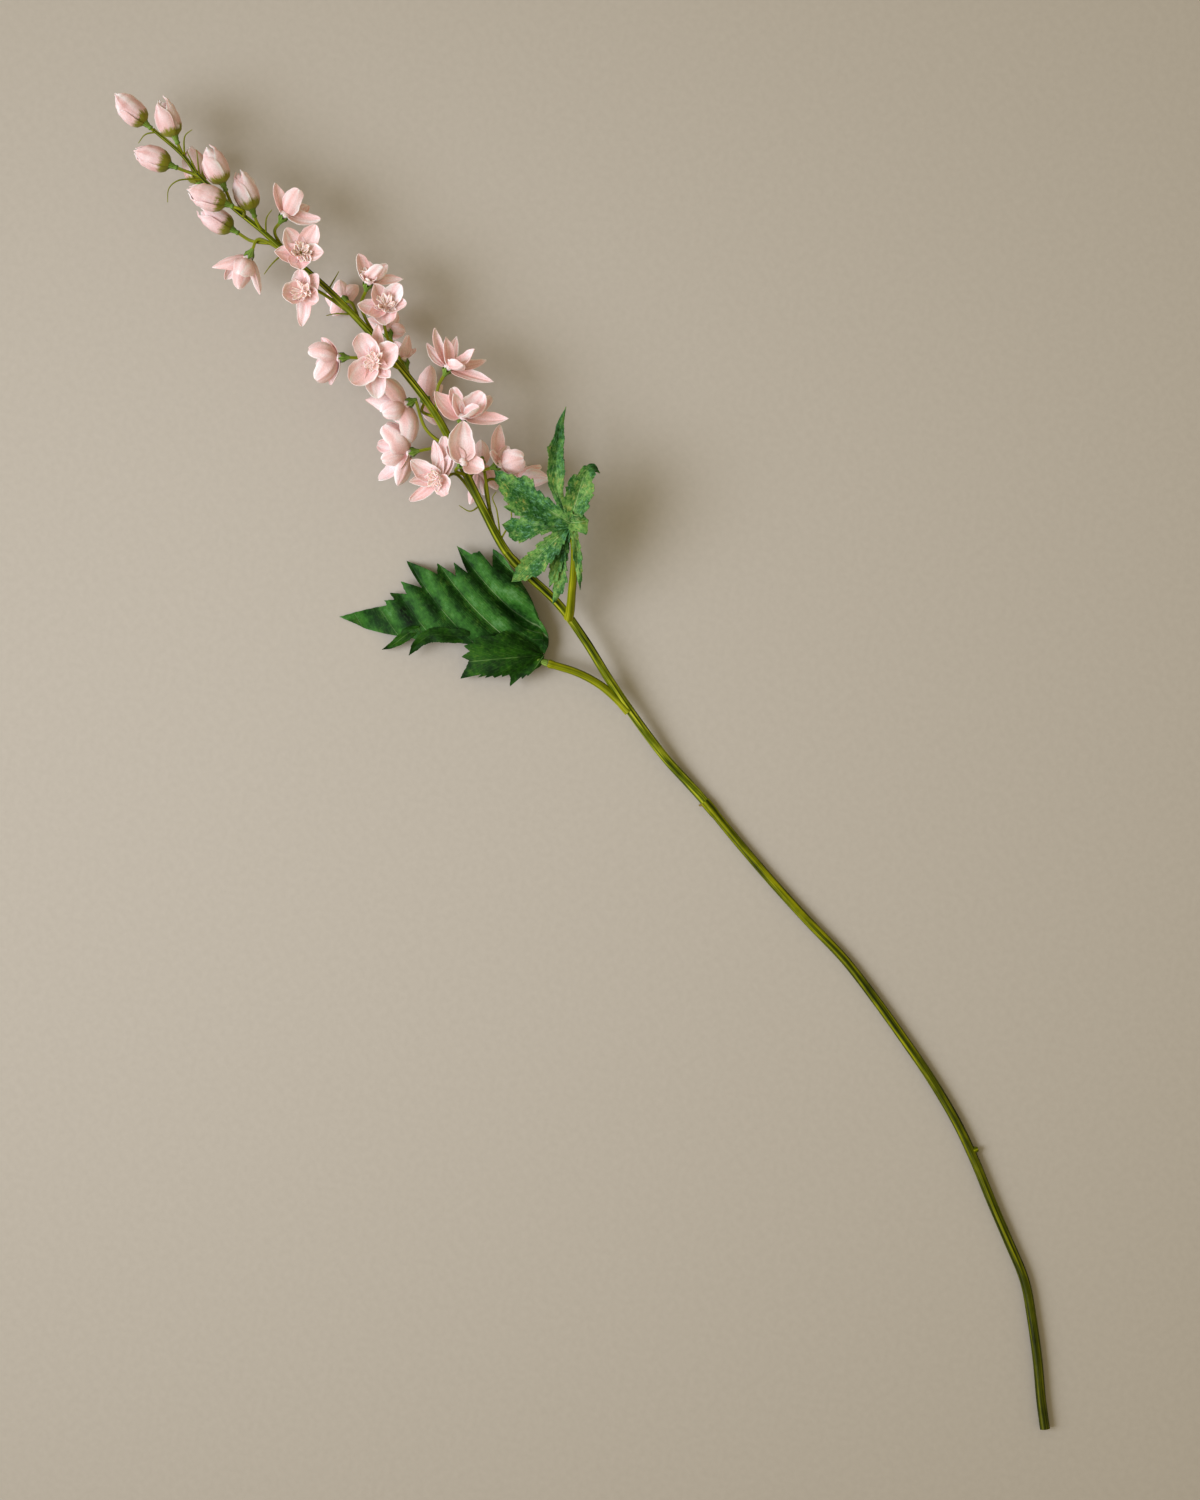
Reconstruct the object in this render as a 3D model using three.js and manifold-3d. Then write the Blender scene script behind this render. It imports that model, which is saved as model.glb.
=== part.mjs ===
// An artificial larkspur stem lying on a flat surface: a moulded plastic stem with a spike of
// fabric buds and flowers on thin pedicels, and two cut fabric leaves on stalks of their own.
//
// Units are millimetres and +Z is up. Everything is laid out on a sheet under the stem, x to the
// right, y up the sheet and z above it, where the stem lies aslant. At the end the whole layout is
// turned by LAY_TURN, which brings the spike's end to +X, and set over the middle of its own box.
import * as THREE from 'three';
import { mergeVertices } from 'three/addons/utils/BufferGeometryUtils.js';
import Module from 'manifold-3d';

const wasm = await Module();
wasm.setup();

// ---------------------------------------------------------------- driving dimensions
const LAY_TURN = -125; // degrees, from the sheet's x to the part's X
const GAP = 0.3; // clearance between pieces that meet

const STEM_SIDES = 8;
const BUTT_RADIUS = 2.75; // at the cut end
const JOINT_RADIUS = 2.5; // where the upper stem plugs into the lower one
const NECK_RADIUS = 2.35; // under the lowest flower
const TIP_RADIUS = 0.95; // under the end bud
const SLEEVE_LENGTH = 9; // the wider mouth of the lower stem at its joint
const SLEEVE_EXTRA = 0.35;

const STALK_RADIUS = 2.05; // of a leaf stalk
const PEDICEL_RADIUS = 0.85;
const BRACT_RADIUS = 0.6;
const COLLAR_RADIUS = 1.6; // of the moulded collar under a bud or a flower
const CUP_RADIUS = 2.5; // of the collar's rim

const BUD_LENGTH = 20;
const BUD_RADIUS = 6.6;
const PETAL_THICK = 0.85;
const PETAL_CUP = 0.3; // how far a petal's edges rise, as a share of its half width
const PETAL_BULGE = 0.13; // how far its middle bows outwards, as a share of its length
const PETAL_LIE = 0.9; // how far it lies over, so that its broad side shows from above
const CORE_RADIUS = 2.7; // of the solid middle that a flower's petals are rooted in
const STAMEN_LENGTH = 7.5;
const LEAF_THICK = 0.9;

// ---------------------------------------------------------------- layout
// The stem's centre line. On the lower stem the height follows from the radius.
const LOWER_LINE = [
  [240, -366], [238, -351], [236, -329], [233, -307], [229, -286], [220, -264], [211, -243],
  [202, -221], [192, -200], [179, -178], [164, -156], [149, -135], [132, -113], [112, -92],
  [92, -70], [74, -49], [56, -27],
];
const UPPER_LINE = [
  [56, -27, 2.4], [47, -17, 3], [36, -5, 4.6], [20, 16, 7.6], [5, 38, 10.5], [-8, 59, 13.2],
  [-22, 78, 15.8], [-41, 96, 19.2], [-50, 106, 21],
];
const SPIKE_LINE = [
  [-50, 106, 21], [-62, 128, 25], [-75, 155, 28], [-87, 178, 29.5], [-105, 202, 31],
  [-130, 230, 32], [-146, 246, 33], [-168, 265, 34], [-179, 275, 34.5], [-195, 288, 35],
  [-213, 305, 35.5], [-221, 315, 36], [-236, 328, 36],
];

// Buds: the base of the bud, the way from there to its tip, and the foot of its pedicel.
const BUDS = [
  { at: [-241, 332, 36], to: [-15, 13, 2], foot: [-236, 328] },
  { at: [-225, 325, 37], to: [-8, 20, 4], foot: [-221, 316] },
  { at: [-228, 310, 34], to: [-20, 8, -2], foot: [-212, 304] },
  { at: [-214, 303, 20], to: [-5, 18, -1], foot: [-206, 298] },
  { at: [-199, 299, 43], to: [-8, 19, 4], foot: [-194, 288] },
  { at: [-197, 287, 49], to: [-20, 7, 1], foot: [-188, 283] },
  { at: [-196, 277, 28], to: [-15, 9, -1], foot: [-173, 268] },
  { at: [-184, 286, 38], to: [-7, 19, 2], foot: [-177, 276] },
];

// Flowers: the back of the flower, the heading and rise of its face in degrees, the foot of its
// pedicel, and its petals as the way from the back to the petal's tip, then the petal's width.
const FLOWERS = [
  { at: [-168, 282, 34], face: [55, 20], foot: [-167, 264], stamens: false,
    petals: [[-4, 18, 4, 7], [9, 14, 7, 11], [20, -1, 0, 9], [4, 15, -9, 9], [13, 8, -9, 9]] },
  { at: [-158, 260, 44], face: [60, 70], foot: [-158, 257], stamens: true,
    petals: [[-7, 14, 6, 11], [9, 16, 5, 11], [13, 1, 6, 10], [-13, 2, 5, 10], [1, -8, 7, 12]] },
  { at: [-186, 263, 30], face: [240, -15], foot: [-168, 264], stamens: false,
    petals: [[-20, -7, 0, 9], [-4, -11, 9, 12], [-6, -18, -3, 11], [5, -21, -3, 6],
      [-14, -12, -9, 8]] },
  { at: [-155, 242, 42], face: [200, 65], foot: [-131, 230], stamens: true,
    petals: [[-2, 11, 6, 10], [7, 8, 7, 9], [-12, -3, 7, 12], [-2, -19, 3, 8], [7, -6, 6, 10]] },
  { at: [-137, 241, 12.2], face: [150, -60], foot: [-127, 227], stamens: false,
    petals: [[-3, 12, -5, 9], [7, 9, -7, 8], [-11, 4, -8, 11], [-7, -7, -8, 9]] },
  { at: [-123, 246, 36], face: [70, 30], foot: [-117, 217], stamens: true,
    petals: [[-5, 16, 4, 8], [9, 8, 10, 10], [19, 4, -3, 7], [10, 12, -6, 8], [0, 14, -7, 8]] },
  { at: [-114, 233, 34], face: [80, 60], foot: [-109, 207], stamens: true,
    petals: [[-5, 13, 7, 10], [9, 13, 6, 10], [12, 3, 6, 9], [-14, 2, 7, 9], [1, -9, 9, 12],
      [-8, -4, 10, 7]] },
  { at: [-113, 222, 20], face: [115, -20], foot: [-101, 196], stamens: false,
    petals: [[-12, 8, -2, 9], [5, 12, -2, 11], [9, 2, -4, 9], [-5, 12, -10, 9]] },
  { at: [-137, 209, 25], face: [180, -5], foot: [-113, 211], stamens: false,
    petals: [[-17, 4, 7, 11], [-12, 11, -4, 9], [-13, -13, 3, 12], [-7, -14, -5, 8],
      [-15, -3, -9, 9]] },
  { at: [-118, 205, 43], face: [200, 70], foot: [-105, 202], stamens: true,
    petals: [[-8, 14, 6, 13], [-13, -12, 5, 14], [1, -20, 2, 11], [1, 19, 5, 8], [12, 7, 8, 14],
      [8, -9, 6, 8]] },
  { at: [-101, 185, 26], face: [205, -10], foot: [-77, 158], via: [-92, 170, 27], stamens: false,
    petals: [[-24, 1, 0, 12], [-13, 12, 5, 13], [-14, -6, 8, 12], [2, -21, -2, 15],
      [-9, -9, -10, 10]] },
  { at: [-100, 159, 21], face: [190, -10], foot: [-78, 160], stamens: false,
    petals: [[-13, 15, 6, 16], [-19, 5, -6, 11], [-16, -5, 6, 9], [-18, -15, -5, 12],
      [-8, -18, 0, 10], [-13, -4, -10, 10]] },
  { at: [-84, 144, 34], face: [200, 55], foot: [-59, 122], stamens: true,
    petals: [[-16, 9, 6, 10], [-4, 20, 3, 7], [2, 22, 4, 8], [7, 15, 4, 7], [4, -9, 8, 11],
      [-17, -12, -1, 7], [-17, -2, 4, 7]] },
  { at: [-81, 201, 36], face: [60, 25], foot: [-87, 178], stamens: false,
    petals: [[-7, 22, 3, 6], [-11, 15, -3, 7], [0, 17, 6, 7], [5, 19, -6, 7], [15, 10, 8, 10],
      [21, 6, -4, 7], [25, -6, 1, 7], [9, 1, 11, 9]] },
  { at: [-73, 174, 42], face: [70, 35], foot: [-77, 159], stamens: false,
    petals: [[-14, 15, 5, 11], [-5, 17, 1, 8], [12, 14, 2, 12], [16, 12, -4, 8], [25, 1, 2, 9],
      [10, 5, 11, 9], [-4, 13, 8, 7]] },
  { at: [-73, 151, 40], face: [40, 50], foot: [-71, 146], stamens: false,
    petals: [[1, 22, 8, 14], [12, -3, 4, 11], [-8, 9, 4, 8]] },
  { at: [-64, 154, 13], face: [250, -40], foot: [-57, 120], via: [-61, 145, 22], stamens: false,
    petals: [[0, 13, -7, 9], [-6, -22, -7, 7], [2, -17, -6, 8], [9, -14, -4, 8]] },
  { at: [-55, 151, 28], face: [20, 10], foot: [-57, 118], stamens: false,
    petals: [[2, 22, 2, 9], [14, 3, 8, 13], [6, 11, -3, 7], [13, -1, -8, 9], [-3, 7, 9, 7]] },
  { at: [-47, 144, 15], face: [0, -10], foot: [-55, 116], stamens: false,
    petals: [[15, 9, -2, 8], [20, 1, 4, 10], [10, -7, -6, 8], [8, 9, -15, 7]] },
  { at: [-94, 188, 9.7], face: [80, -50], foot: [-86, 176], stamens: false,
    petals: [[3, 19, -3, 10], [6, -13, -5, 9], [9, 9, -8, 8]] },
  { at: [-104, 206, 23], face: [110, -5], foot: [-99, 194], stamens: false,
    petals: [[2, 15, 1, 8], [-6, 13, -8, 8], [5, 9, -9, 7]] },
];

// Bracts: thread-like green leaves along the spike.
const BRACTS = [
  [[-235, 327, 36], [-241, 326, 34], [-245, 322, 31]],
  [[-220, 315, 36], [-219, 324, 41], [-215, 327, 43]],
  [[-213, 305, 36], [-218, 316, 42]],
  [[-212, 304, 36], [-213, 317, 40]],
  [[-210, 302, 36], [-223, 301, 38], [-228, 297, 37], [-229, 290, 35]],
  [[-177, 274, 35], [-176, 281, 40], [-173, 285, 42]],
  [[-167, 264, 34], [-174, 257, 35], [-178, 252, 34]],
  [[-144, 244, 33], [-138, 253, 38]],
  [[-131, 231, 32], [-140, 231, 35], [-145, 230, 35]],
  [[-63, 131, 25], [-69, 127, 27], [-75, 130, 28]],
  [[-53, 112, 22], [-55, 128, 28], [-57, 134, 31], [-55, 137, 32]],
  [[-53, 112, 22], [-47, 124, 29], [-50, 134, 30]],
];

// The lower leaf is a pleated blade. Its outline is [heading, radius, bow] seen from its base: the
// tips and the notches in turn, with the rays between base and outline bowed sideways. Its pleats
// run side by side towards the tips of its upper edge, and die out at its midrib.
const FAN_BASE = [-30, 51, 9];
const MIDRIB_HEADING = 169.5; // degrees
const PLEAT_HEADING = 132;
const PLEAT_WIDTH = 13.5; // from vein to vein
const PLEAT_SHIFT = 4; // from the leaf's base to the vein before it
const PLEAT_HEIGHT = 2.2;
const PLEAT_REACH = 22; // how far above the midrib a pleat has its full height
const FAN_OUTLINE = [
  [62, 6, 0], [102, 24, -2], [108, 40, -4], [113, 55, -4], [116, 64, -3], [120, 58, -2],
  [123, 66, -1], [127, 66, 0], [129, 76, 0], [133, 63, 0], [136, 70, 0], [139, 66, 0],
  [141, 76, 0], [144, 77, 0], [147, 91, 0], [150, 77, 0], [153, 89, 0], [155, 83, 0],
  [157, 92, 0], [159, 88, 0], [161, 93, 0], [163, 90, 0], [166, 99, 0], [170, 113, 0],
  [171, 101, 0], [172.5, 96, -1], [173.5, 85, -2], [175, 80, -3], [177.5, 88, -4],
  [178.5, 76, -6], [180, 74, -7],
];
// The lobe that is folded forwards over the fan's lower corner.
const FLAP_OUTLINE = [
  [137, 10, 0], [143, 22, 1], [154, 26, 1], [166, 37, 1], [173, 42, 0], [176, 38, 0],
  [181, 43, 0], [186, 39, 0], [196, 46, 0], [198, 36, 0], [201, 34, 0], [204, 28, 0],
  [209, 24, 0], [226, 24, 0], [230, 16, 0], [243, 13, 0], [262, 5, 0],
];

// The upper leaf's lobes, each a rib with the lobe's half widths to the left and the right of it
// at even shares of the rib, from the root to the tip.
const LOBES = [
  { rib: [[-18, 124, 41], [-22, 136, 44], [-23, 150, 46], [-22, 163, 45], [-21, 172, 43],
    [-18, 181, 41]],
  left: [3, 4, 5, 4.5, 4, 5.5, 3, 1, 0], right: [3, 3, 4.5, 4, 4, 3.5, 2.5, 1, 0] },
  { rib: [[-16, 120, 41], [-29, 128, 42], [-42, 137, 38], [-56, 148, 33]],
    left: [3, 8, 7, 6, 7, 6, 6, 4, 0], right: [3, 6, 7, 9, 7, 8, 5, 5, 0] },
  { rib: [[-18, 120, 40.5], [-36, 126, 37], [-51, 129, 32]],
    left: [3, 5, 3, 4, 3, 0], right: [3, 5, 4, 4, 3, 0] },
  { rib: [[-16, 120, 41], [-31, 119, 37], [-42, 119, 32], [-52, 120, 27]],
    left: [3, 7, 8, 7, 10, 7, 8, 4, 0], right: [3, 4, 4, 4, 3, 5, 3, 3, 0] },
  { rib: [[-17, 118, 40], [-27, 108, 35], [-37, 99, 28], [-47, 90, 22]],
    left: [2, 4, 6, 7, 7, 8, 6, 4, 0], right: [2, 4, 4, 5, 4, 5, 4, 3, 0] },
  { rib: [[-17, 117, 40], [-21, 106, 33], [-24, 96, 27], [-27, 87, 23]],
    left: [2, 3, 4, 4, 3, 3, 0], right: [2, 3, 4, 4, 3, 2, 0] },
  { rib: [[-17, 117, 39], [-20.5, 101, 30], [-22, 89, 25], [-25, 78, 21]],
    left: [2, 2.5, 3, 3, 4, 3, 0], right: [2, 2, 3, 3, 3, 2, 0] },
  { rib: [[-14, 117, 42], [-12, 102, 42], [-10.5, 85, 34]],
    left: [2, 2, 2.5, 2, 1.5, 0], right: [2, 2, 2, 1.5, 1, 0] },
  { rib: [[-15, 122, 42], [-12, 133, 46], [-9, 142, 48], [-4, 149, 47], [0, 146, 43]],
    left: [3, 6, 7, 6, 7, 4, 3, 1, 0], right: [3, 6, 7, 7, 8, 5, 4, 2, 0] },
  { rib: [[-16, 120, 41], [-11, 120, 44], [-6, 121, 44]],
    left: [3, 5, 4, 4, 0], right: [3, 5, 5, 7, 0] },
];
const LOWER_STALK = [[-28, 46.6, 9], [-12, 41.5, 9], [0, 35, 9], [9, 27.5, 9], [15.5, 20.5, 8.6]];
const UPPER_STALK = [[-13.5, 112, 38], [-13.5, 100, 34], [-15, 84, 25], [-16, 74, 18],
  [-17, 70, 15.5]];

// ---------------------------------------------------------------- vectors and solids
const vec = (p) => new THREE.Vector3(p[0], p[1], p[2] ?? 0);
const curveOf = (points) => new THREE.CatmullRomCurve3(points.map(vec), false, 'centripetal');
const mix = THREE.MathUtils.lerp;
const rad = THREE.MathUtils.degToRad;

// The unit vector of a heading on the sheet and a rise above it, both in degrees.
function direction([heading, rise]) {
  const flat = Math.cos(rad(rise));
  return new THREE.Vector3(
    flat * Math.cos(rad(heading)),
    flat * Math.sin(rad(heading)),
    Math.sin(rad(rise)),
  );
}

// A closed triangle surface, as an indexed geometry with shared corners, as a solid.
function solidOf(geometry) {
  const bare = geometry.clone();
  bare.deleteAttribute('normal');
  bare.deleteAttribute('uv');
  const merged = mergeVertices(bare, 1e-3);
  const corners = merged.index.array;
  const kept = [];
  for (let i = 0; i < corners.length; i += 3) {
    const [a, b, c] = [corners[i], corners[i + 1], corners[i + 2]];
    if (a !== b && b !== c && c !== a) kept.push(a, b, c);
  }
  const make = (triVerts) => new wasm.Manifold(new wasm.Mesh({
    numProp: 3,
    vertProperties: merged.attributes.position.array,
    triVerts: new Uint32Array(triVerts),
  }));
  const solid = make(kept);
  if (solid.volume() > 0) return solid;
  return make(kept.reverse());
}

// The solid that a list of points and a list of triangles between them enclose.
function gridSolid(points, triangles) {
  const geometry = new THREE.BufferGeometry();
  geometry.setAttribute(
    'position',
    new THREE.BufferAttribute(new Float32Array(points.flatMap((p) => p.toArray())), 3),
  );
  geometry.setIndex(triangles.flat());
  return solidOf(geometry);
}

const union = (solids) => solids.reduce((whole, next) => whole.add(next));

// The body that holds most of a solid's volume, without the scraps a cut may leave.
function largestBody(solid) {
  return solid.decompose().reduce((a, b) => (a.volume() > b.volume() ? a : b));
}

// A closed tube of `sides` sides along a curve, with a facet underneath, and its radius given as
// a function of the share of the curve's length.
function tube(curve, steps, sides, radiusAt) {
  const frames = curve.computeFrenetFrames(steps, false);
  const points = [];
  const triangles = [];
  for (let i = 0; i <= steps; i += 1) {
    const centre = curve.getPointAt(i / steps);
    const radius = radiusAt(i / steps);
    for (let j = 0; j < sides; j += 1) {
      const turn = ((j + 0.5) * 2 * Math.PI) / sides;
      points.push(centre.clone()
        .addScaledVector(frames.normals[i], radius * Math.cos(turn))
        .addScaledVector(frames.binormals[i], radius * Math.sin(turn)));
    }
  }
  for (let i = 0; i < steps; i += 1) {
    for (let j = 0; j < sides; j += 1) {
      const [a, b] = [i * sides + j, i * sides + ((j + 1) % sides)];
      triangles.push([a, a + sides, b], [b, a + sides, b + sides]);
    }
  }
  const last = steps * sides;
  for (let j = 1; j < sides - 1; j += 1) {
    triangles.push([0, j, j + 1], [last, last + j + 1, last + j]);
  }
  return gridSolid(points, triangles);
}

// A thin closed blade between two grids of points, upper and lower, split alike on both faces.
function blade(upper, lower) {
  const rows = upper.length;
  const columns = upper[0].length;
  const under = rows * columns;
  const id = (i, j) => i * columns + j;
  const triangles = [];
  const quad = (a, b, c, d) => triangles.push([a, b, c], [a, c, d]);
  for (let i = 0; i < rows - 1; i += 1) {
    for (let j = 0; j < columns - 1; j += 1) {
      const [a, b, c, d] = [id(i, j), id(i, j + 1), id(i + 1, j + 1), id(i + 1, j)];
      quad(a, b, c, d);
      triangles.push([under + a, under + c, under + b], [under + a, under + d, under + c]);
    }
  }
  for (let i = 0; i < rows - 1; i += 1) {
    const [a, b] = [id(i, 0), id(i + 1, 0)];
    quad(a, b, under + b, under + a);
    const [c, d] = [id(i, columns - 1), id(i + 1, columns - 1)];
    quad(d, c, under + c, under + d);
  }
  for (let j = 0; j < columns - 1; j += 1) {
    const [a, b] = [id(0, j), id(0, j + 1)];
    quad(b, a, under + a, under + b);
    const [c, d] = [id(rows - 1, j), id(rows - 1, j + 1)];
    quad(c, d, under + d, under + c);
  }
  return gridSolid([...upper.flat(), ...lower.flat()], triangles);
}

// A turned solid along an axis: [distance along it, radius] pairs, with `sides` sides.
function turned(base, axis, profile, sides) {
  const outline = profile.map(([along, radius]) => new THREE.Vector2(radius, along));
  const geometry = new THREE.LatheGeometry(outline, sides);
  const turn = new THREE.Quaternion().setFromUnitVectors(new THREE.Vector3(0, 1, 0), axis);
  geometry.applyQuaternion(turn);
  geometry.translate(base.x, base.y, base.z);
  return solidOf(geometry);
}

// ---------------------------------------------------------------- stems and stalks
const facetDepth = Math.cos(Math.PI / STEM_SIDES); // a facet's distance from the axis, per radius
const lowerRadius = (share) => mix(BUTT_RADIUS, JOINT_RADIUS, share);
const spikeRadius = (share) => mix(NECK_RADIUS, TIP_RADIUS, share ** 1.2);

const lowerLine = LOWER_LINE.map(([x, y], i) => {
  const radius = lowerRadius(i / (LOWER_LINE.length - 1));
  return [x, y, radius * facetDepth];
});
const stemCurve = curveOf([...lowerLine, ...UPPER_LINE.slice(1), ...SPIKE_LINE.slice(1)]);

// The share of the whole stem's length at which it passes a place on the sheet.
function shareNear([x, y]) {
  const samples = stemCurve.getSpacedPoints(3000);
  const away = (p) => Math.hypot(p.x - x, p.y - y);
  return samples.reduce((best, p, i) => (away(p) < away(samples[best]) ? i : best), 0) / 3000;
}

// The stem's curve between two shares of its length.
function stretch(from, to, count) {
  const points = [];
  for (let i = 0; i <= count; i += 1) points.push(stemCurve.getPointAt(mix(from, to, i / count)));
  return new THREE.CatmullRomCurve3(points, false, 'centripetal');
}

const jointShare = shareNear(UPPER_LINE[0]);
const spikeShare = shareNear(SPIKE_LINE[0]);
const gapShare = GAP / stemCurve.getLength();
const lowerCurve = stretch(0, jointShare, 40);
const upperCurve = stretch(jointShare + 2 * gapShare, spikeShare - 2 * gapShare, 24);
const spikeCurve = stretch(spikeShare, 1, 40);

// The point of the spike's axis nearest to a place on the sheet.
function footOnSpike([x, y]) {
  const samples = spikeCurve.getSpacedPoints(200);
  const away = (p) => Math.hypot(p.x - x, p.y - y);
  return samples.reduce((best, p) => (away(p) < away(best) ? p : best));
}

function lowerStem() {
  const stem = tube(lowerCurve, 20, STEM_SIDES, lowerRadius);
  const sleeveShare = SLEEVE_LENGTH / stemCurve.getLength();
  const sleeveCurve = stretch(jointShare - sleeveShare, jointShare, 4);
  const sleeve = tube(sleeveCurve, 2, STEM_SIDES, () => JOINT_RADIUS + SLEEVE_EXTRA);
  // A leaf scar: a short stub that stands out of the stem's right side.
  const scar = turned(new THREE.Vector3(201, -216, 2.6), direction([20, 10]),
    [[-1, 0], [-1, 2.2], [2.6, 1.5], [3.2, 0]], 7);
  // A nub of moulding flash at the joint's mouth.
  const nub = turned(new THREE.Vector3(57.4, -28.8, 2.6), direction([196, 3]),
    [[0, 0], [0, 1.3], [4, 0.6], [4.4, 0]], 6);
  return union([stem, sleeve.translate([0, 0, SLEEVE_EXTRA * facetDepth]), scar, nub]);
}

function upperStem() {
  return tube(upperCurve, 10, STEM_SIDES, (share) => mix(JOINT_RADIUS, NECK_RADIUS, share));
}

// A leaf stalk, cut clear of the stem that it clasps.
function stalk(points) {
  const whole = tube(curveOf(points), 6, 8, (share) => STALK_RADIUS + 0.35 * share ** 3);
  const clearance = tube(upperCurve, 10, STEM_SIDES, () => JOINT_RADIUS + 2 * GAP);
  return largestBody(whole.subtract(clearance));
}

// A socket at a stalk's free end, in line with it and a gap beyond it, which a leaf grows from.
function socket(points, length, endRadius) {
  const curve = curveOf(points);
  const away = curve.getTangentAt(0).negate();
  const mouth = curve.getPointAt(0).addScaledVector(away, GAP);
  return turned(mouth, away, [[0, 0], [0, STALK_RADIUS], [length, endRadius], [length, 0]], 6);
}

// ---------------------------------------------------------------- spike
// A pedicel from the spike's axis to the collar, which ends just behind the bud or flower.
function pedicel({ at, foot, via }, axis, collarLength) {
  const end = vec(at).addScaledVector(axis, -collarLength);
  const start = footOnSpike(foot);
  const middle = via ? vec(via) : end.clone().addScaledVector(axis, -0.35 * start.distanceTo(end));
  const curve = new THREE.CatmullRomCurve3([start, middle, end], false, 'centripetal');
  const collar = turned(end, axis, [
    [-0.6, 0], [0.3, COLLAR_RADIUS], [collarLength - GAP, CUP_RADIUS], [collarLength - GAP, 0],
  ], 5);
  return tube(curve, 3, 4, () => PEDICEL_RADIUS).add(collar);
}

function bract(points) {
  return tube(curveOf(points), points.length, 3, (share) => (
    mix(BRACT_RADIUS, 0.35, share)));
}

function spikeAxis() {
  const rachis = tube(spikeCurve, 14, STEM_SIDES, spikeRadius);
  const budPedicels = BUDS.map((bud) => pedicel(bud, vec(bud.to).normalize(), 4.5));
  const flowerPedicels = FLOWERS.map((flower) => pedicel(flower, direction(flower.face), 3.2));
  return union([rachis, ...budPedicels, ...flowerPedicels, ...BRACTS.map(bract)]);
}

// ---------------------------------------------------------------- buds and flowers
// A bud: three petals wrapped round each other. Each covers a third of the round, stands proud at
// its leading edge and ends in a tip of its own, with a dimple between the tips.
const BUD_PETALS = 3;
const COLUMNS_PER_PETAL = 4;
// Rows from base to rim: share of the length, and the radius as a share of BUD_RADIUS.
const BUD_ROWS = [[0.02, 0.34], [0.16, 0.8], [0.42, 1], [0.68, 0.92], [0.86, 0.66]];
function bud({ at, to }) {
  const axis = vec(to).normalize();
  const turn = new THREE.Quaternion().setFromUnitVectors(new THREE.Vector3(0, 0, 1), axis);
  const place = (x, y, z) => new THREE.Vector3(x, y, z).applyQuaternion(turn).add(vec(at));
  const columns = BUD_PETALS * COLUMNS_PER_PETAL;
  const points = BUD_ROWS.flatMap(([share, girth], row) => (
    Array.from({ length: columns }, (_, column) => {
      const onPetal = (column % COLUMNS_PER_PETAL) / (COLUMNS_PER_PETAL - 1);
      const proud = 0.14 * onPetal * Math.min(row, 3) / 3;
      const tip = row === BUD_ROWS.length - 1 ? Math.sin(Math.PI * onPetal) : 0;
      const turnBy = ((column + 0.6 * row) / columns) * 2 * Math.PI;
      const radius = (girth + proud - 0.06 * tip) * BUD_RADIUS;
      const height = (share + 0.17 * tip) * BUD_LENGTH;
      return place(radius * Math.cos(turnBy), radius * Math.sin(turnBy), height);
    })));
  const base = points.length;
  points.push(place(0, 0, 0), place(0, 0, 0.74 * BUD_LENGTH));
  const triangles = [];
  for (let column = 0; column < columns; column += 1) {
    const next = (column + 1) % columns;
    for (let row = 0; row < BUD_ROWS.length - 1; row += 1) {
      const [a, b] = [row * columns + column, row * columns + next];
      triangles.push([a, b, b + columns], [a, b + columns, a + columns]);
    }
    const rim = (BUD_ROWS.length - 1) * columns;
    triangles.push([base, next, column], [base + 1, rim + column, rim + next]);
  }
  return gridSolid(points, triangles);
}

// A petal from the flower's middle to its tip, cupped towards the side that the flower faces.
// Rows are shares of the length with the half width there, as a share of the petal's own.
const PETAL_ROWS = [[0, 0.36], [0.42, 0.98], [0.8, 0.84], [1, 0]];
function petal(root, tip, width, facing, thick) {
  const along = tip.clone().sub(root);
  const length = along.length();
  along.normalize();
  const looks = facing.clone().addScaledVector(along, -facing.dot(along)).normalize();
  looks.z += looks.z < 0 ? -PETAL_LIE : PETAL_LIE;
  const across = along.clone().cross(looks).normalize();
  const inward = across.clone().cross(along).normalize();
  const face = (offset) => PETAL_ROWS.map(([t, w]) => [-1, 0, 1].map((side) => {
    const half = (w * width) / 2;
    const bow = -4 * PETAL_BULGE * t * (1 - t) * length;
    const cup = PETAL_CUP * half * Math.abs(side);
    return root.clone()
      .addScaledVector(along, t * length)
      .addScaledVector(across, side * half)
      .addScaledVector(inward, bow + cup + offset);
  }));
  return blade(face(thick / 2), face(-thick / 2));
}

function petalsOf({ at, face, petals }, thick) {
  const axis = direction(face);
  const core = vec(at).addScaledVector(axis, CORE_RADIUS);
  return petals.map(([x, y, z, width]) => {
    const tip = vec(at).add(new THREE.Vector3(x, y, z));
    const root = core.clone().lerp(tip, 0.05);
    return petal(root, tip, width, axis, thick);
  });
}

function flower(entry) {
  const axis = direction(entry.face);
  const profile = [[0, 0], [0.4, 0.62], [1, 1], [1.5, 0.8], [1.9, 0]];
  const core = turned(vec(entry.at), axis,
    profile.map(([t, r]) => [t * CORE_RADIUS, r * CORE_RADIUS]), 5);
  return union([core, ...petalsOf(entry, PETAL_THICK)]);
}

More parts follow.
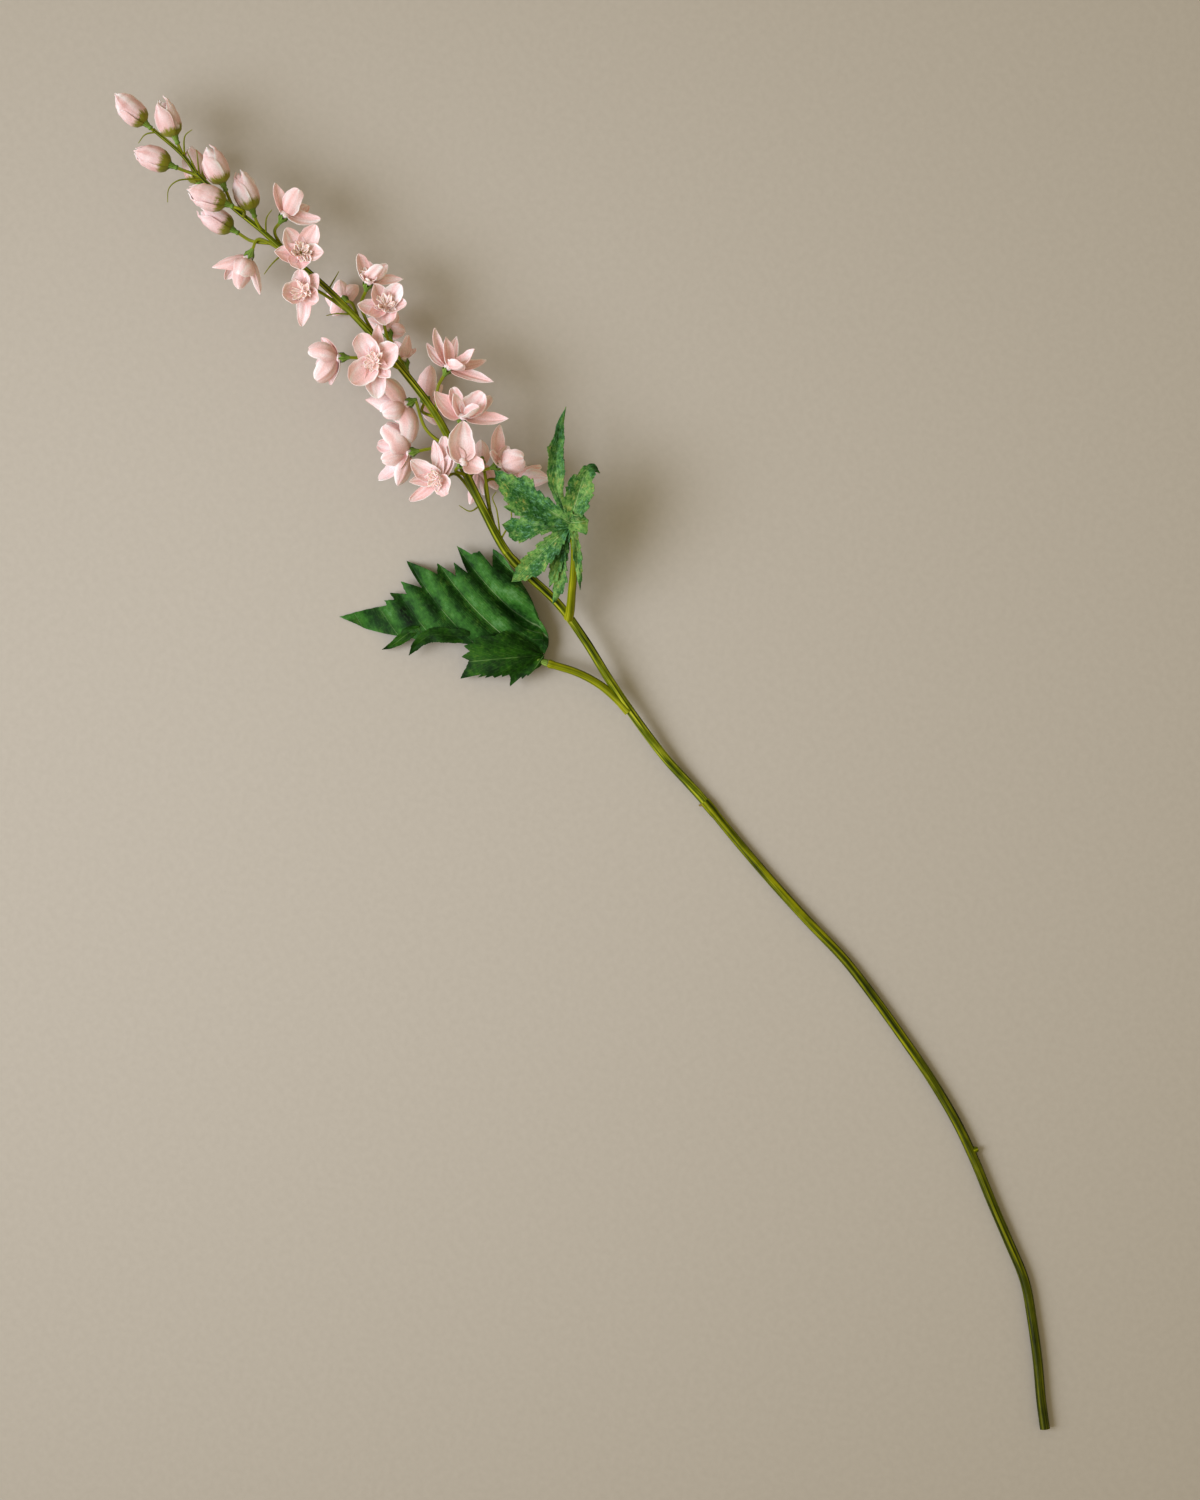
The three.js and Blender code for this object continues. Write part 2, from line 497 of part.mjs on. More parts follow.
// Stamens: a slim column on the flower's middle with filaments that lean out of it.
function stamens(entry) {
  const axis = direction(entry.face);
  const base = vec(entry.at).addScaledVector(axis, 1.9 * CORE_RADIUS + GAP);
  const column = turned(base, axis, [[0, 0], [0, 1.1], [2, 0.9], [2, 0]], 5);
  const side = new THREE.Vector3(0, 0, 1).cross(axis).normalize();
  const filaments = [20, 92, 164, 236, 308].map((heading) => {
    const outwards = side.clone().applyAxisAngle(axis, rad(heading));
    const lean = axis.clone().addScaledVector(outwards, 0.75).normalize();
    return turned(base.clone().addScaledVector(axis, 0.9), lean,
      [[0, 0], [0.3, 0.5], [STAMEN_LENGTH - 3, 0.8], [STAMEN_LENGTH - 2.2, 0]], 3);
  });
  const clearance = union(petalsOf(entry, PETAL_THICK + 2 * GAP));
  return largestBody(union([column, ...filaments]).subtract(clearance));
}

// ---------------------------------------------------------------- leaves
// A fan of rays from the leaf's base to its outline, raised by a height of its own at each point.
const FAN_ROWS = [0.02, 0.35, 0.6, 0.82, 1];
function fan(base, outline, heightAt) {
  const face = (offset) => FAN_ROWS.map((share, row) => outline.map(([heading, radius, bow], i) => {
    const before = outline[Math.max(i - 1, 0)][1];
    const after = outline[Math.min(i + 1, outline.length - 1)][1];
    const even = (before + 2 * radius + after) / 4;
    const reach = row < FAN_ROWS.length - 1 ? Math.min(even, radius * 1.1) * share : radius;
    const aside = -4 * bow * share * (1 - share);
    const [c, s] = [Math.cos(rad(heading)), Math.sin(rad(heading))];
    const x = base[0] + reach * c + aside * s;
    const y = base[1] + reach * s - aside * c;
    return new THREE.Vector3(x, y, Math.max(heightAt(heading, reach), 0) + offset);
  }));
  return blade(face(LEAF_THICK), face(0));
}

function lowerLeaf() {
  const fanHeight = (heading, reach) => {
    const aside = reach * Math.sin(rad(heading - PLEAT_HEADING)) + PLEAT_SHIFT;
    const above = reach * Math.sin(rad(MIDRIB_HEADING - heading));
    const share = Math.min(Math.max(above / PLEAT_REACH, 0), 1);
    const pleat = -PLEAT_HEIGHT * share * Math.cos((2 * Math.PI * aside) / PLEAT_WIDTH);
    return FAN_BASE[2] + 5 * Math.sin(reach / 34) - 9.5 * (reach / 100) ** 2 + pleat - 1.4;
  };
  const flapHeight = (heading, reach) => {
    const fall = Math.max(heading - 150, 0) / 60;
    return FAN_BASE[2] + 7 * Math.sin(reach / 22) - 9 * fall * (reach / 32) ** 1.5;
  };
  const blades = [
    fan(FAN_BASE, FAN_OUTLINE, fanHeight),
    fan(FAN_BASE, FLAP_OUTLINE, flapHeight),
  ];
  return union([socket(LOWER_STALK, 6, 1.2), ...blades]);
}

// A lobe along its rib, with both halves raised a little from the rib.
const LOBE_FOLD = 0.35;
function lobe({ rib, left, right }) {
  const curve = curveOf(rib);
  const last = left.length - 1;
  const face = (offset) => left.map((_, i) => {
    const share = i / last;
    const middle = curve.getPointAt(share);
    const along = curve.getTangentAt(share);
    const across = new THREE.Vector3(0, 0, 1).cross(along).normalize();
    const up = along.clone().cross(across).normalize();
    return [-right[i], 0, left[i]].map((reach) => middle.clone()
      .addScaledVector(across, reach)
      .addScaledVector(up, LOBE_FOLD * Math.abs(reach) + offset));
  });
  return blade(face(LEAF_THICK / 2), face(-LEAF_THICK / 2));
}

function upperLeaf() {
  return union([socket(UPPER_STALK, 8, 1.6), ...LOBES.map(lobe)]);
}

// ---------------------------------------------------------------- the part
const material = (color, roughness) => (
  new THREE.MeshStandardMaterial({ color, roughness, metalness: 0 }));
const STEM_GREEN = material(0x66702a, 0.5);
const STALK_GREEN = material(0x8c8c10, 0.5);
const LEAF_GREEN = material(0x2f6a34, 0.8);
const PETAL_PINK = material(0xf0c2b8, 0.85);
const STAMEN_WHITE = material(0xf6e8de, 0.7);

const layout = new THREE.Group();

function addNode(name, solid, look) {
  const made = solid.getMesh();
  const geometry = new THREE.BufferGeometry();
  geometry.setAttribute('position', new THREE.BufferAttribute(new Float32Array(made.vertProperties), 3));
  geometry.setIndex([...made.triVerts]);
  geometry.computeVertexNormals();
  const mesh = new THREE.Mesh(geometry, look);
  mesh.name = name;
  layout.add(mesh);
}

addNode('lower_stem', lowerStem(), STEM_GREEN);
addNode('upper_stem', upperStem(), STEM_GREEN);
addNode('spike_axis', spikeAxis(), STEM_GREEN);
addNode('lower_leaf_stalk', stalk(LOWER_STALK), STALK_GREEN);
addNode('upper_leaf_stalk', stalk(UPPER_STALK), STALK_GREEN);
addNode('lower_leaf', lowerLeaf(), LEAF_GREEN);
addNode('upper_leaf', upperLeaf(), LEAF_GREEN);
BUDS.forEach((entry, i) => addNode(`bud_${i + 1}`, bud(entry), PETAL_PINK));
FLOWERS.forEach((entry, i) => {
  addNode(`flower_${i + 1}`, flower(entry), PETAL_PINK);
  if (entry.stamens) addNode(`stamens_${i + 1}`, stamens(entry), STAMEN_WHITE);
});

const part = new THREE.Group();
layout.rotation.z = rad(LAY_TURN);
part.add(layout);
part.updateMatrixWorld(true);
const box = new THREE.Box3().setFromObject(part, true);
const middle = box.getCenter(new THREE.Vector3());
layout.position.set(-middle.x, -middle.y, -box.min.z);

export default part;
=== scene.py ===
import math
import random
from functools import partial

import bpy
from mathutils import Matrix, Vector
from mathutils.geometry import interpolate_bezier


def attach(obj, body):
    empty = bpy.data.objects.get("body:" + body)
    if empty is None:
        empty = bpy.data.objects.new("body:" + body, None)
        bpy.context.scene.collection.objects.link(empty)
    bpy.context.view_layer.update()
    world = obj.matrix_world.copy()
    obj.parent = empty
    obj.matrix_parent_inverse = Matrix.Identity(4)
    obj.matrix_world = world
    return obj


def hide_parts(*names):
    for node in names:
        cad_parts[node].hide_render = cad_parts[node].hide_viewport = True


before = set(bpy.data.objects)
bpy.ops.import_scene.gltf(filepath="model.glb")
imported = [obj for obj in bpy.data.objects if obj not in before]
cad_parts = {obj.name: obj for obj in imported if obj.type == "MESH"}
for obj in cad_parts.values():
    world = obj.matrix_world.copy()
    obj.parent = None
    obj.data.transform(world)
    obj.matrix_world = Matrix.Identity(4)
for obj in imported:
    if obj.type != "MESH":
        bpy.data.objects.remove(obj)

# An artificial larkspur stem lying on a table: moulded plastic stems, a spike of fabric buds and
# flowers, and two cut fabric leaves. Everything is modelled in millimetres on the sheet that the
# stem lies on, x to the right and y up the sheet, and is brought into the part's frame at the end.
bpy.ops.object.select_all(action="DESELECT")
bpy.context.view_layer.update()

layout = {
    "turn": -125,  # degrees, from the sheet's x to the part's X
    "shift": (4.013, 6.961, 0.168),  # mm, sets the part's box over the middle and on the table
}
sheetToPart = (
    Matrix.Translation(Vector(layout["shift"]) * 0.001)
    @ Matrix.Rotation(math.radians(layout["turn"]), 4, "Z")
    @ Matrix.Scale(0.001, 4)
)


def onSheet(x, y, z):
    return sheetToPart @ Vector((x, y, z))


camera = {"height": 1800, "lens": 80, "sensor": 36}  # height in mm over the middle of the sheet
bpy.ops.object.camera_add(
    location=onSheet(0, 0, camera["height"]), rotation=(0, 0, math.radians(layout["turn"]))
)
bpy.context.object.name = "camera"
bpy.context.object.data.lens = camera["lens"]
bpy.context.object.data.sensor_width = camera["sensor"]
bpy.context.scene.camera = bpy.context.object

light = {
    "key": (-1300, -120, 1130),  # mm, a window to the left of the stem and a little below it
    "aim": (-130, 40, 0),
    "size": 1.25,
    "spread": 62,  # degrees, as far as the window frame lets it reach
    "power": 6.8,
    "colour": "#EEF3FF",
    "fill": 0.495,
    "fillColour": "#FFEDBE",  # what the warm room throws back
}


def linear(hexColour):
    channels = [int(hexColour[i:i + 2], 16) / 255 for i in (1, 3, 5)]
    return (*[c / 12.92 if c <= 0.04045 else ((c + 0.055) / 1.055) ** 2.4 for c in channels], 1)


bpy.ops.object.light_add(type="AREA", location=onSheet(*light["key"]))
lamp = bpy.context.object
lamp.name = "window"
aim = onSheet(*light["aim"]) - lamp.location
lamp.rotation_euler = aim.to_track_quat("-Z", "Y").to_euler()
lamp.data.size = light["size"]
lamp.data.spread = math.radians(light["spread"])
lamp.data.energy = light["power"]
lamp.data.color = linear(light["colour"])[:3]
world = bpy.data.worlds.new("room")
bpy.context.scene.world = world
world.use_nodes = True
room = world.node_tree.nodes["Background"]
room.inputs["Color"].default_value = linear(light["fillColour"])
room.inputs["Strength"].default_value = light["fill"]
bpy.context.scene.view_settings.view_transform = "Standard"


def wire(node, inputs):  # sets plain values, and links sockets or a node's first live output
    for name, value in inputs.items():
        if isinstance(value, bpy.types.Node):
            value = next(output for output in value.outputs if output.enabled)
        if isinstance(value, bpy.types.NodeSocket):
            node.id_data.links.new(value, node.inputs[name])
        else:
            node.inputs[name].default_value = value


def addNode(tree, kind, inputs=None, stops=(), **settings):
    node = tree.nodes.new("ShaderNode" + kind)
    for name, value in settings.items():
        setattr(node, name, value)
    wire(node, inputs or {})
    for i, (place, colour) in enumerate(stops):
        elements = node.color_ramp.elements
        element = elements[i] if i < len(elements) else elements.new(place)
        element.position = place
        element.color = linear(colour)
    return node


def startMaterial(name, finish):  # gives the material, what adds its nodes, and its shader
    material = bpy.data.materials.new(name)
    material.use_nodes = True
    surface = material.node_tree.nodes["Principled BSDF"]
    wire(surface, finish)
    return material, partial(addNode, material.node_tree), surface


def perMetre(size):  # the scale of a pattern in metres whose features are so many mm apart
    return 1000 / size


# Matt emulsion paint on board, rolled on: a soft, even beige with a faint orange-peel texture.
tableTop = {"side": 6, "peel": 3.5, "tones": ("#ADA69C", "#B1AAA0")}  # metres, mm between dimples
tablePaint, add, surface = startMaterial("rolledEmulsionPaint", {"Roughness": 0.75})
place = add("TexCoord").outputs["Object"]
peel = add("TexNoise", {"Vector": place, "Scale": perMetre(tableTop["peel"]), "Detail": 4.0})
tone = add("ValToRGB", {0: peel}, zip((0.3, 0.7), tableTop["tones"]))
bump = add("Bump", {"Height": peel, "Strength": 0.12, "Distance": 0.0004})
wire(surface, {"Base Color": tone, "Normal": bump})
bpy.ops.mesh.primitive_plane_add(size=tableTop["side"], location=(0, 0, 0))
table = bpy.context.object
table.name = "table"
table.data.materials.append(tablePaint)
print("camera, light and table set")

# Polyethylene, injection moulded over a wire: a satin skin with streaks along it, where the dye
# did not blend, and faint pits from the mould. Its shade drifts from one end to the other.
plastics = {  # dark, middle and pale; roughness; mm long; shade at the root and at the tip
    "mouldedStem": (("#202600", "#4E5600", "#969808"), 0.42, 440, (0.5, 1.15)),
    "mouldedSpike": (("#182200", "#586406", "#AEB02C"), 0.4, 320, (1.2, 0.88)),
    "mouldedStalk": (("#485000", "#747A04", "#A2A018"), 0.44, 60, (1, 1)),
    "mouldedCollar": (("#3E5A12", "#64802C", "#98B45E"), 0.5, 30, (1, 1)),
    "cutPlastic": (("#5A4A22", "#7E6E3A", "#A0925A"), 0.7, 10, (1, 1)),
    "girth": 16,  # mm round a stem
    "streak": 1.6, "streakLength": 80,  # mm
    "patch": 11, "patchShare": 0.18,  # mm, and how much of the colour follows the patches
    "pit": 0.7,  # mm, coarser than the real ones so that they show
}


def mouldedPlastic(name):
    tones, roughness, length, (rootShade, tipShade) = plastics[name]
    material, add, surface = startMaterial(name, {"Roughness": roughness, "Specular IOR Level": 0.1})
    around = add("UVMap")
    perUnit = (plastics["girth"] / plastics["streak"], length / plastics["streakLength"], 1)
    stretched = add("Mapping", {"Vector": around, "Scale": perUnit})
    streak = add("TexNoise", {"Vector": stretched, "Scale": 1.0, "Detail": 3.0, "Roughness": 0.6})
    place = add("TexCoord").outputs["Object"]
    patch = add("TexNoise", {"Vector": place, "Scale": perMetre(plastics["patch"]), "Detail": 3.0})
    share = plastics["patchShare"]
    streaked = add("Math", {0: streak, 1: 1 - share}, operation="MULTIPLY")
    blend = add("Math", {0: patch, 1: share, 2: streaked}, operation="MULTIPLY_ADD")
    tone = add("ValToRGB", {0: blend}, zip((0.38, 0.5, 0.64), tones))
    along = add("SeparateXYZ", {0: around}).outputs["Y"]
    shade = add("MapRange", {"Value": along, "To Min": rootShade, "To Max": tipShade})
    colour = add("Mix", {0: 1.0, 6: tone, 7: shade}, data_type="RGBA", blend_type="MULTIPLY")
    pit = add("TexNoise", {"Vector": place, "Scale": perMetre(plastics["pit"]), "Detail": 2.0})
    height = add("Math", {0: streak, 1: 0.9, 2: pit}, operation="MULTIPLY_ADD")
    bump = add("Bump", {"Height": height, "Strength": 0.4, "Distance": 0.0003})
    wire(surface, {"Base Color": colour, "Normal": bump})
    return material


stemPlastic = mouldedPlastic("mouldedStem")
spikePlastic = mouldedPlastic("mouldedSpike")
stalkPlastic = mouldedPlastic("mouldedStalk")
collarPlastic = mouldedPlastic("mouldedCollar")
cutPlastic = mouldedPlastic("cutPlastic")

# Polyester taffeta, dyed pale pink, die-cut and pressed in a hot mould: a soft satin sheen, random
# deeper and paler streaks that are deeper in the folds' hollows as a painted shade, a deeper colour
# at the root that is partly dye and partly painted shade, a painted shade down the middle crease,
# and a pale cut edge that is partly bare thread and partly a painted highlight.
clothLook = {
    "finish": {
        "Roughness": 0.72, "Sheen Weight": 0.12, "Sheen Roughness": 0.45, "Subsurface Weight": 0.2,
        "Subsurface Scale": 0.004, "Subsurface Radius": (1.0, 0.5, 0.42),
        "Specular IOR Level": 0.12,
    },
    "deep": ("#F2C2BF", "#E6B1AF"), "middle": "#FCD9DB", "pale": "#FFF4F7",  # open and in bud
    # root is partly dye and partly painted shade; edge is bare thread with a painted highlight
    "warm": "#F5BFBA", "root": "#D5968C", "edge": "#FFFCFC",
    "paint": ("#565C06", "#99942C"),  # brushed on the base of a bud
    "weave": ((0.88, 1.04), (0.82, 0.94)),  # how far the threads darken and lighten it
    "crease": (0.2, 0.0),  # how much of the root's colour is painted down the middle crease as shade
    "petal": (10, 20),  # mm, a petal's width and length
    "fold": (2.6, 17),  # mm, between folds and along one
    "thread": 0.7,  # mm, coarser than the real weave so that it shows
}


def petalFabric(name, painted):  # painted is 0 for an open petal and 1 for one in bud
    material, add, surface = startMaterial(name, clothLook["finish"])
    onPetal = add("UVMap")
    parts = add("SeparateXYZ", {0: onPetal}).outputs
    tint = add("Attribute", attribute_name="tint").outputs
    perPetal = [size / fold for size, fold in zip(clothLook["petal"], clothLook["fold"])]
    folds = add("Mapping", {"Vector": onPetal, "Scale": (*perPetal, 1)})
    shift = add("VectorMath", {0: folds, 1: tint["Vector"]}, operation="ADD")
    fold = add("TexNoise", {"Vector": shift, "Scale": 1.0, "Detail": 3.0, "Roughness": 0.5})
    # random deeper and paler streaks; the deeper colour falls in the folds' bump hollows as a painted
    # shade
    dye = add("ValToRGB", {0: fold}, [
        (0.32, clothLook["deep"][painted]), (0.48, clothLook["middle"]),
        (0.66, clothLook["pale"])])
    batch = add("Math", {0: tint["Fac"]}, operation="FRACT")
    warmth = add("Math", {0: batch, 1: 0.4}, operation="MULTIPLY")
    dyed = add("Mix", {0: warmth, 6: dye, 7: linear(clothLook["warm"])}, data_type="RGBA")
    # deeper towards the root, partly dye and partly painted shade deep inside the flower
    rootDyeAndShade = add("MapRange", {
        "Value": parts["Y"], "From Min": 0.55, "From Max": 0.0, "To Min": 0.0, "To Max": 0.6})
    rootDyedAndShaded = add("Mix", {0: rootDyeAndShade, 6: dyed, 7: linear(clothLook["root"])}, data_type="RGBA")
    # a painted shade down the middle crease, in the root's colour
    across = add("Math", {0: parts["X"], 1: 0.5}, operation="SUBTRACT")
    away = add("Math", {0: across}, operation="ABSOLUTE")
    crease = add("MapRange", {
        "Value": away, "From Min": 0.07, "From Max": 0.0, "To Max": clothLook["crease"][painted]})
    body = add("Mix", {0: crease, 6: rootDyedAndShaded, 7: linear(clothLook["root"])}, data_type="RGBA")
    # the cut edge, 0.5 mm of the petal's 10, paler for its bare thread and for a painted highlight
    wide = add("MapRange", {"Value": away, "From Min": 0.4, "From Max": 0.49})
    long = add("MapRange", {"Value": parts["Y"], "From Min": 0.86, "From Max": 0.97})
    rim = add("Math", {0: wide, 1: long}, operation="MAXIMUM")
    frayed = add("MapRange", {
        "Value": fold, "From Min": 0.4, "From Max": 0.6, "To Min": 0.1, "To Max": 0.75})
    rimShare = add("Math", {0: rim, 1: frayed}, operation="MULTIPLY")
    paleEdgeAndHighlight = add("Mix", {0: rimShare, 6: body, 7: linear(clothLook["edge"])}, data_type="RGBA")
    place = add("TexCoord").outputs["Object"]
    weave = add("TexNoise", {"Vector": place, "Scale": perMetre(clothLook["thread"]), "Detail": 2.0})
    low, high = clothLook["weave"][painted]
    speck = add("MapRange", {
        "Value": weave, "From Min": 0.3, "From Max": 0.7, "To Min": low, "To Max": high})
    colour = add("Mix", {0: 1.0, 6: paleEdgeAndHighlight, 7: speck}, data_type="RGBA", blend_type="MULTIPLY")
    if painted:  # brushed up from the base in strokes, so the paint's edge is ragged
        stroke = add("TexNoise", {"Vector": shift, "Scale": 2.2, "Detail": 4.0, "Roughness": 0.7})
        edge = add("Math", {0: stroke, 1: 0.45, 2: -0.22}, operation="MULTIPLY_ADD")
        level = add("Math", {0: parts["Y"], 1: edge}, operation="ADD")
        paint = add("MapRange", {"Value": level, "From Min": 0.27, "From Max": 0.15})
        dark, pale = [linear(colour) for colour in clothLook["paint"]]
        olive = add("Mix", {0: fold, 6: dark, 7: pale}, data_type="RGBA")
        colour = add("Mix", {0: paint, 6: colour, 7: olive}, data_type="RGBA")
    height = add("Math", {0: fold, 1: 2.0, 2: weave}, operation="MULTIPLY_ADD")
    bump = add("Bump", {"Height": height, "Strength": 0.45, "Distance": 0.0004})
    wire(surface, {"Base Color": colour, "Normal": bump})
    return material


petalCloth = petalFabric("pressedPetalTaffeta", 0)
budCloth = petalFabric("paintedBudTaffeta", 1)


def fadingMaterial(name, finish, stops):  # its colour changes from the root to the tip
    material, add, surface = startMaterial(name, finish)
    along = add("SeparateXYZ", {0: add("UVMap")}).outputs["Y"]
    wire(surface, {"Base Color": add("ValToRGB", {0: along}, stops)})
    return material


# The frill round the stamens is the same taffeta, undyed: an off-white with a hint of pink.
frillCloth = fadingMaterial(
    "undyedFrillTaffeta",
    {"Roughness": 0.6, "Sheen Weight": 0.1, "Subsurface Weight": 0.2, "Subsurface Scale": 0.003},
    [(0.0, "#DCA698"), (0.45, "#F6D4CC"), (0.95, "#FFEFEC")])

# Nylon thread, extruded and dipped: near-white, a little translucent, with dyed tips.
threadPlastic = fadingMaterial(
    "dippedNylonThread",
    {"Roughness": 0.5, "Subsurface Weight": 0.1, "Subsurface Scale": 0.002},
    [(0.08, "#EBC8C0"), (0.4, "#FFF2EF"), (0.9, "#FAE2DA"), (0.94, "#CF9E8E")])

# Polyester leaf cloth, printed and pressed: a mottled green in blotches and threads, with paler
# veins, a main one down each lobe and side ones that leave it at a slant. Each pleat's flanks are
# painted lighter and darker, a painted light and shade, and the palest green is partly a painted
# highlight on them.
leafLooks = {
    # the palest shade is partly a painted highlight; pleat is how much light and shade is painted on
    # the flanks
    "printedDarkLeaf": {
        "shades": ("#010A00", "#0E3306", "#316520", "#689660"), "pleat": 0.065,
        "blotch": 0.45, "fleck": 0.26, "speckle": 0.2, "threads": ("#47763C", "#6C8A30"),
        "width": 13.5, "vein": "#A9C08E", "veinWidth": 0.26, "veinShare": 0.5,
    },
    "printedFoldedLobe": {
        "shades": ("#010A00", "#0A2900", "#1F4A07", "#44701A"), "pleat": 0.02,
        "blotch": 0.45, "fleck": 0.32, "speckle": 0.25, "threads": ("#3F6C28", "#5C7C24"),
        "width": 25, "vein": "#6F9050", "veinWidth": 0.22, "veinShare": 0.35,
    },
    "printedPaleLeaf": {
        "shades": ("#0A2A0C", "#2C5C26", "#628F44", "#9CBA70"), "pleat": 0.03,
        "blotch": 0.42, "fleck": 0.55, "speckle": 0.5, "threads": ("#74AA88", "#BDB05A"),
        "width": 12, "vein": "#A5BE86", "veinWidth": 0.14, "veinShare": 0.45,
    },
    "blotch": 12, "fleck": 2.2,  # mm
    "thread": 0.9, "threadLength": 3.5,  # mm, coarser than the real ones so that they show
    "sideVein": 7,  # mm apart
    "length": 100,  # mm that one unit of a leaf's map stands for
}


def leafFabric(name):
    look = leafLooks[name]
    material, add, surface = startMaterial(name, {"Roughness": 0.55, "Specular IOR Level": 0.08})
    onLeaf = add("UVMap")
    parts = add("SeparateXYZ", {0: onLeaf}).outputs
    place = add("TexCoord").outputs["Object"]
    blotch = add("TexNoise", {
        "Vector": place, "Scale": perMetre(leafLooks["blotch"]), "Detail": 2.0, "Roughness": 0.5})
    fleck = add("TexNoise", {
        "Vector": place, "Scale": perMetre(leafLooks["fleck"]), "Detail": 3.0, "Roughness": 0.7})
    # u counts pleats and is a half on each vein, v is the distance from the root
    turn = add("Math", {0: parts["X"], 1: 2 * math.pi}, operation="MULTIPLY")
    # painted light and shade: one flank of each pleat lighter, the other darker, as the light falls
    pleatLightAndShade = add("Math", {0: turn}, operation="SINE")
    even = 0.5 - (look["blotch"] + look["fleck"]) / 2
    patches = add("Math", {0: blotch, 1: look["blotch"], 2: even}, operation="MULTIPLY_ADD")
    mottled = add("Math", {0: fleck, 1: look["fleck"], 2: patches}, operation="MULTIPLY_ADD")
    level = add("Math", {0: pleatLightAndShade, 1: look["pleat"], 2: mottled}, operation="MULTIPLY_ADD")
    base = add("ValToRGB", {0: level}, zip((0.3, 0.45, 0.58, 0.75), look["shades"]))
    perLeaf = (look["width"] / leafLooks["thread"], leafLooks["length"] / leafLooks["threadLength"], 1)
    stretched = add("Mapping", {"Vector": onLeaf, "Scale": perLeaf})
    thread = add("TexNoise", {"Vector": stretched, "Scale": 1.0, "Detail": 3.0, "Roughness": 0.7})
    bright = add("MapRange", {
        "Value": thread, "From Min": 0.52, "From Max": 0.66, "To Max": look["speckle"]})
    which = add("MapRange", {"Value": blotch, "From Min": 0.45, "From Max": 0.58})
    cool, warm = [linear(colour) for colour in look["threads"]]
    threads = add("Mix", {0: which, 6: cool, 7: warm}, data_type="RGBA")
    body = add("Mix", {0: bright, 6: base, 7: threads}, data_type="RGBA")
    inPleat = add("Math", {0: parts["X"]}, operation="FRACT")
    aside = add("Math", {0: inPleat, 1: 0.5}, operation="SUBTRACT")
    apart = add("Math", {0: aside}, operation="ABSOLUTE")
    reach = add("Math", {0: parts["Y"], 1: 0.1}, operation="MAXIMUM")
    away = add("Math", {0: apart, 1: reach}, operation="MULTIPLY")
    halfVein = look["veinWidth"] * 0.02  # halfway along the leaf, 1 mm aside is 0.04 here
    mainVein = add("MapRange", {
        "Value": away, "From Min": halfVein, "From Max": halfVein * 0.3,
        "To Max": look["veinShare"]})
    perVein = leafLooks["length"] / leafLooks["sideVein"]
    along = add("Math", {0: parts["Y"], 1: perVein}, operation="MULTIPLY")
    lean = add("Math", {0: away, 1: -30.0, 2: along}, operation="MULTIPLY_ADD")
    wave = add("Math", {0: blotch, 1: 0.6, 2: lean}, operation="MULTIPLY_ADD")
    side = add("Math", {0: wave}, operation="FRACT")
    middle = add("Math", {0: side, 1: 0.5}, operation="SUBTRACT")
    off = add("Math", {0: middle}, operation="ABSOLUTE")
    sideVein = add("MapRange", {"Value": off, "From Min": 0.05, "From Max": 0.0, "To Max": 0.15})
    both = add("Math", {0: mainVein, 1: sideVein}, operation="MAXIMUM")
    worn = add("MapRange", {
        "Value": blotch, "From Min": 0.4, "From Max": 0.6, "To Min": 0.15, "To Max": 1.3})
    veins = add("Math", {0: both, 1: worn}, operation="MULTIPLY")
    colour = add("Mix", {0: veins, 6: body, 7: linear(look["vein"])}, data_type="RGBA")
    height = add("Math", {0: veins, 1: -2.0, 2: thread}, operation="MULTIPLY_ADD")
    bump = add("Bump", {"Height": height, "Strength": 0.5, "Distance": 0.0002})
    wire(surface, {"Base Color": colour, "Normal": bump})
    return material


darkLeafCloth = leafFabric("printedDarkLeaf")
foldedCloth = leafFabric("printedFoldedLobe")
paleLeafCloth = leafFabric("printedPaleLeaf")
print("materials mixed")


def mixed(a, b, share):
    return a + (b - a) * share


def alongList(pairs, t):
    for (a, low), (b, high) in zip(pairs, pairs[1:]):
        if t <= b:
            share = (t - a) / (b - a)
            return mixed(low, high, share * share * (3 - 2 * share))
    return pairs[-1][1]


def toTip(t):  # sets rows closer together towards a tip
    return math.sin(t * math.pi / 2)


def smoothPath(points, spacing, curvePoints=17):
    knots = [Vector(p) for p in points]
    knots = [2 * knots[0] - knots[1], *knots, 2 * knots[-1] - knots[-2]]
    fine = [knots[1]]
    for before, start, end, after in zip(knots, knots[1:], knots[2:], knots[3:]):
        gaps = [(q - p).length ** 0.5 for p, q in ((before, start), (start, end), (end, after))]
        step = (end - start) / gaps[1]
        leave = (start - before) / gaps[0] - (end - before) / (gaps[0] + gaps[1]) + step
        arrive = step - (after - start) / (gaps[1] + gaps[2]) + (after - end) / gaps[2]
        handles = (start + leave * gaps[1] / 3, end - arrive * gaps[1] / 3)
        fine += interpolate_bezier(start, *handles, end, curvePoints)[1:]
    lengths = [0]
    for p, q in zip(fine, fine[1:]):
        lengths.append(lengths[-1] + (q - p).length)
    steps = max(round(lengths[-1] / spacing), 3)
    path, at = [], 0
    for i in range(steps + 1):
        goal = lengths[-1] * i / steps
        while at < len(fine) - 2 and lengths[at + 1] < goal:
            at += 1
        share = (goal - lengths[at]) / max(lengths[at + 1] - lengths[at], 1e-6)
        path.append(fine[at].lerp(fine[at + 1], min(share, 1)))
    return path


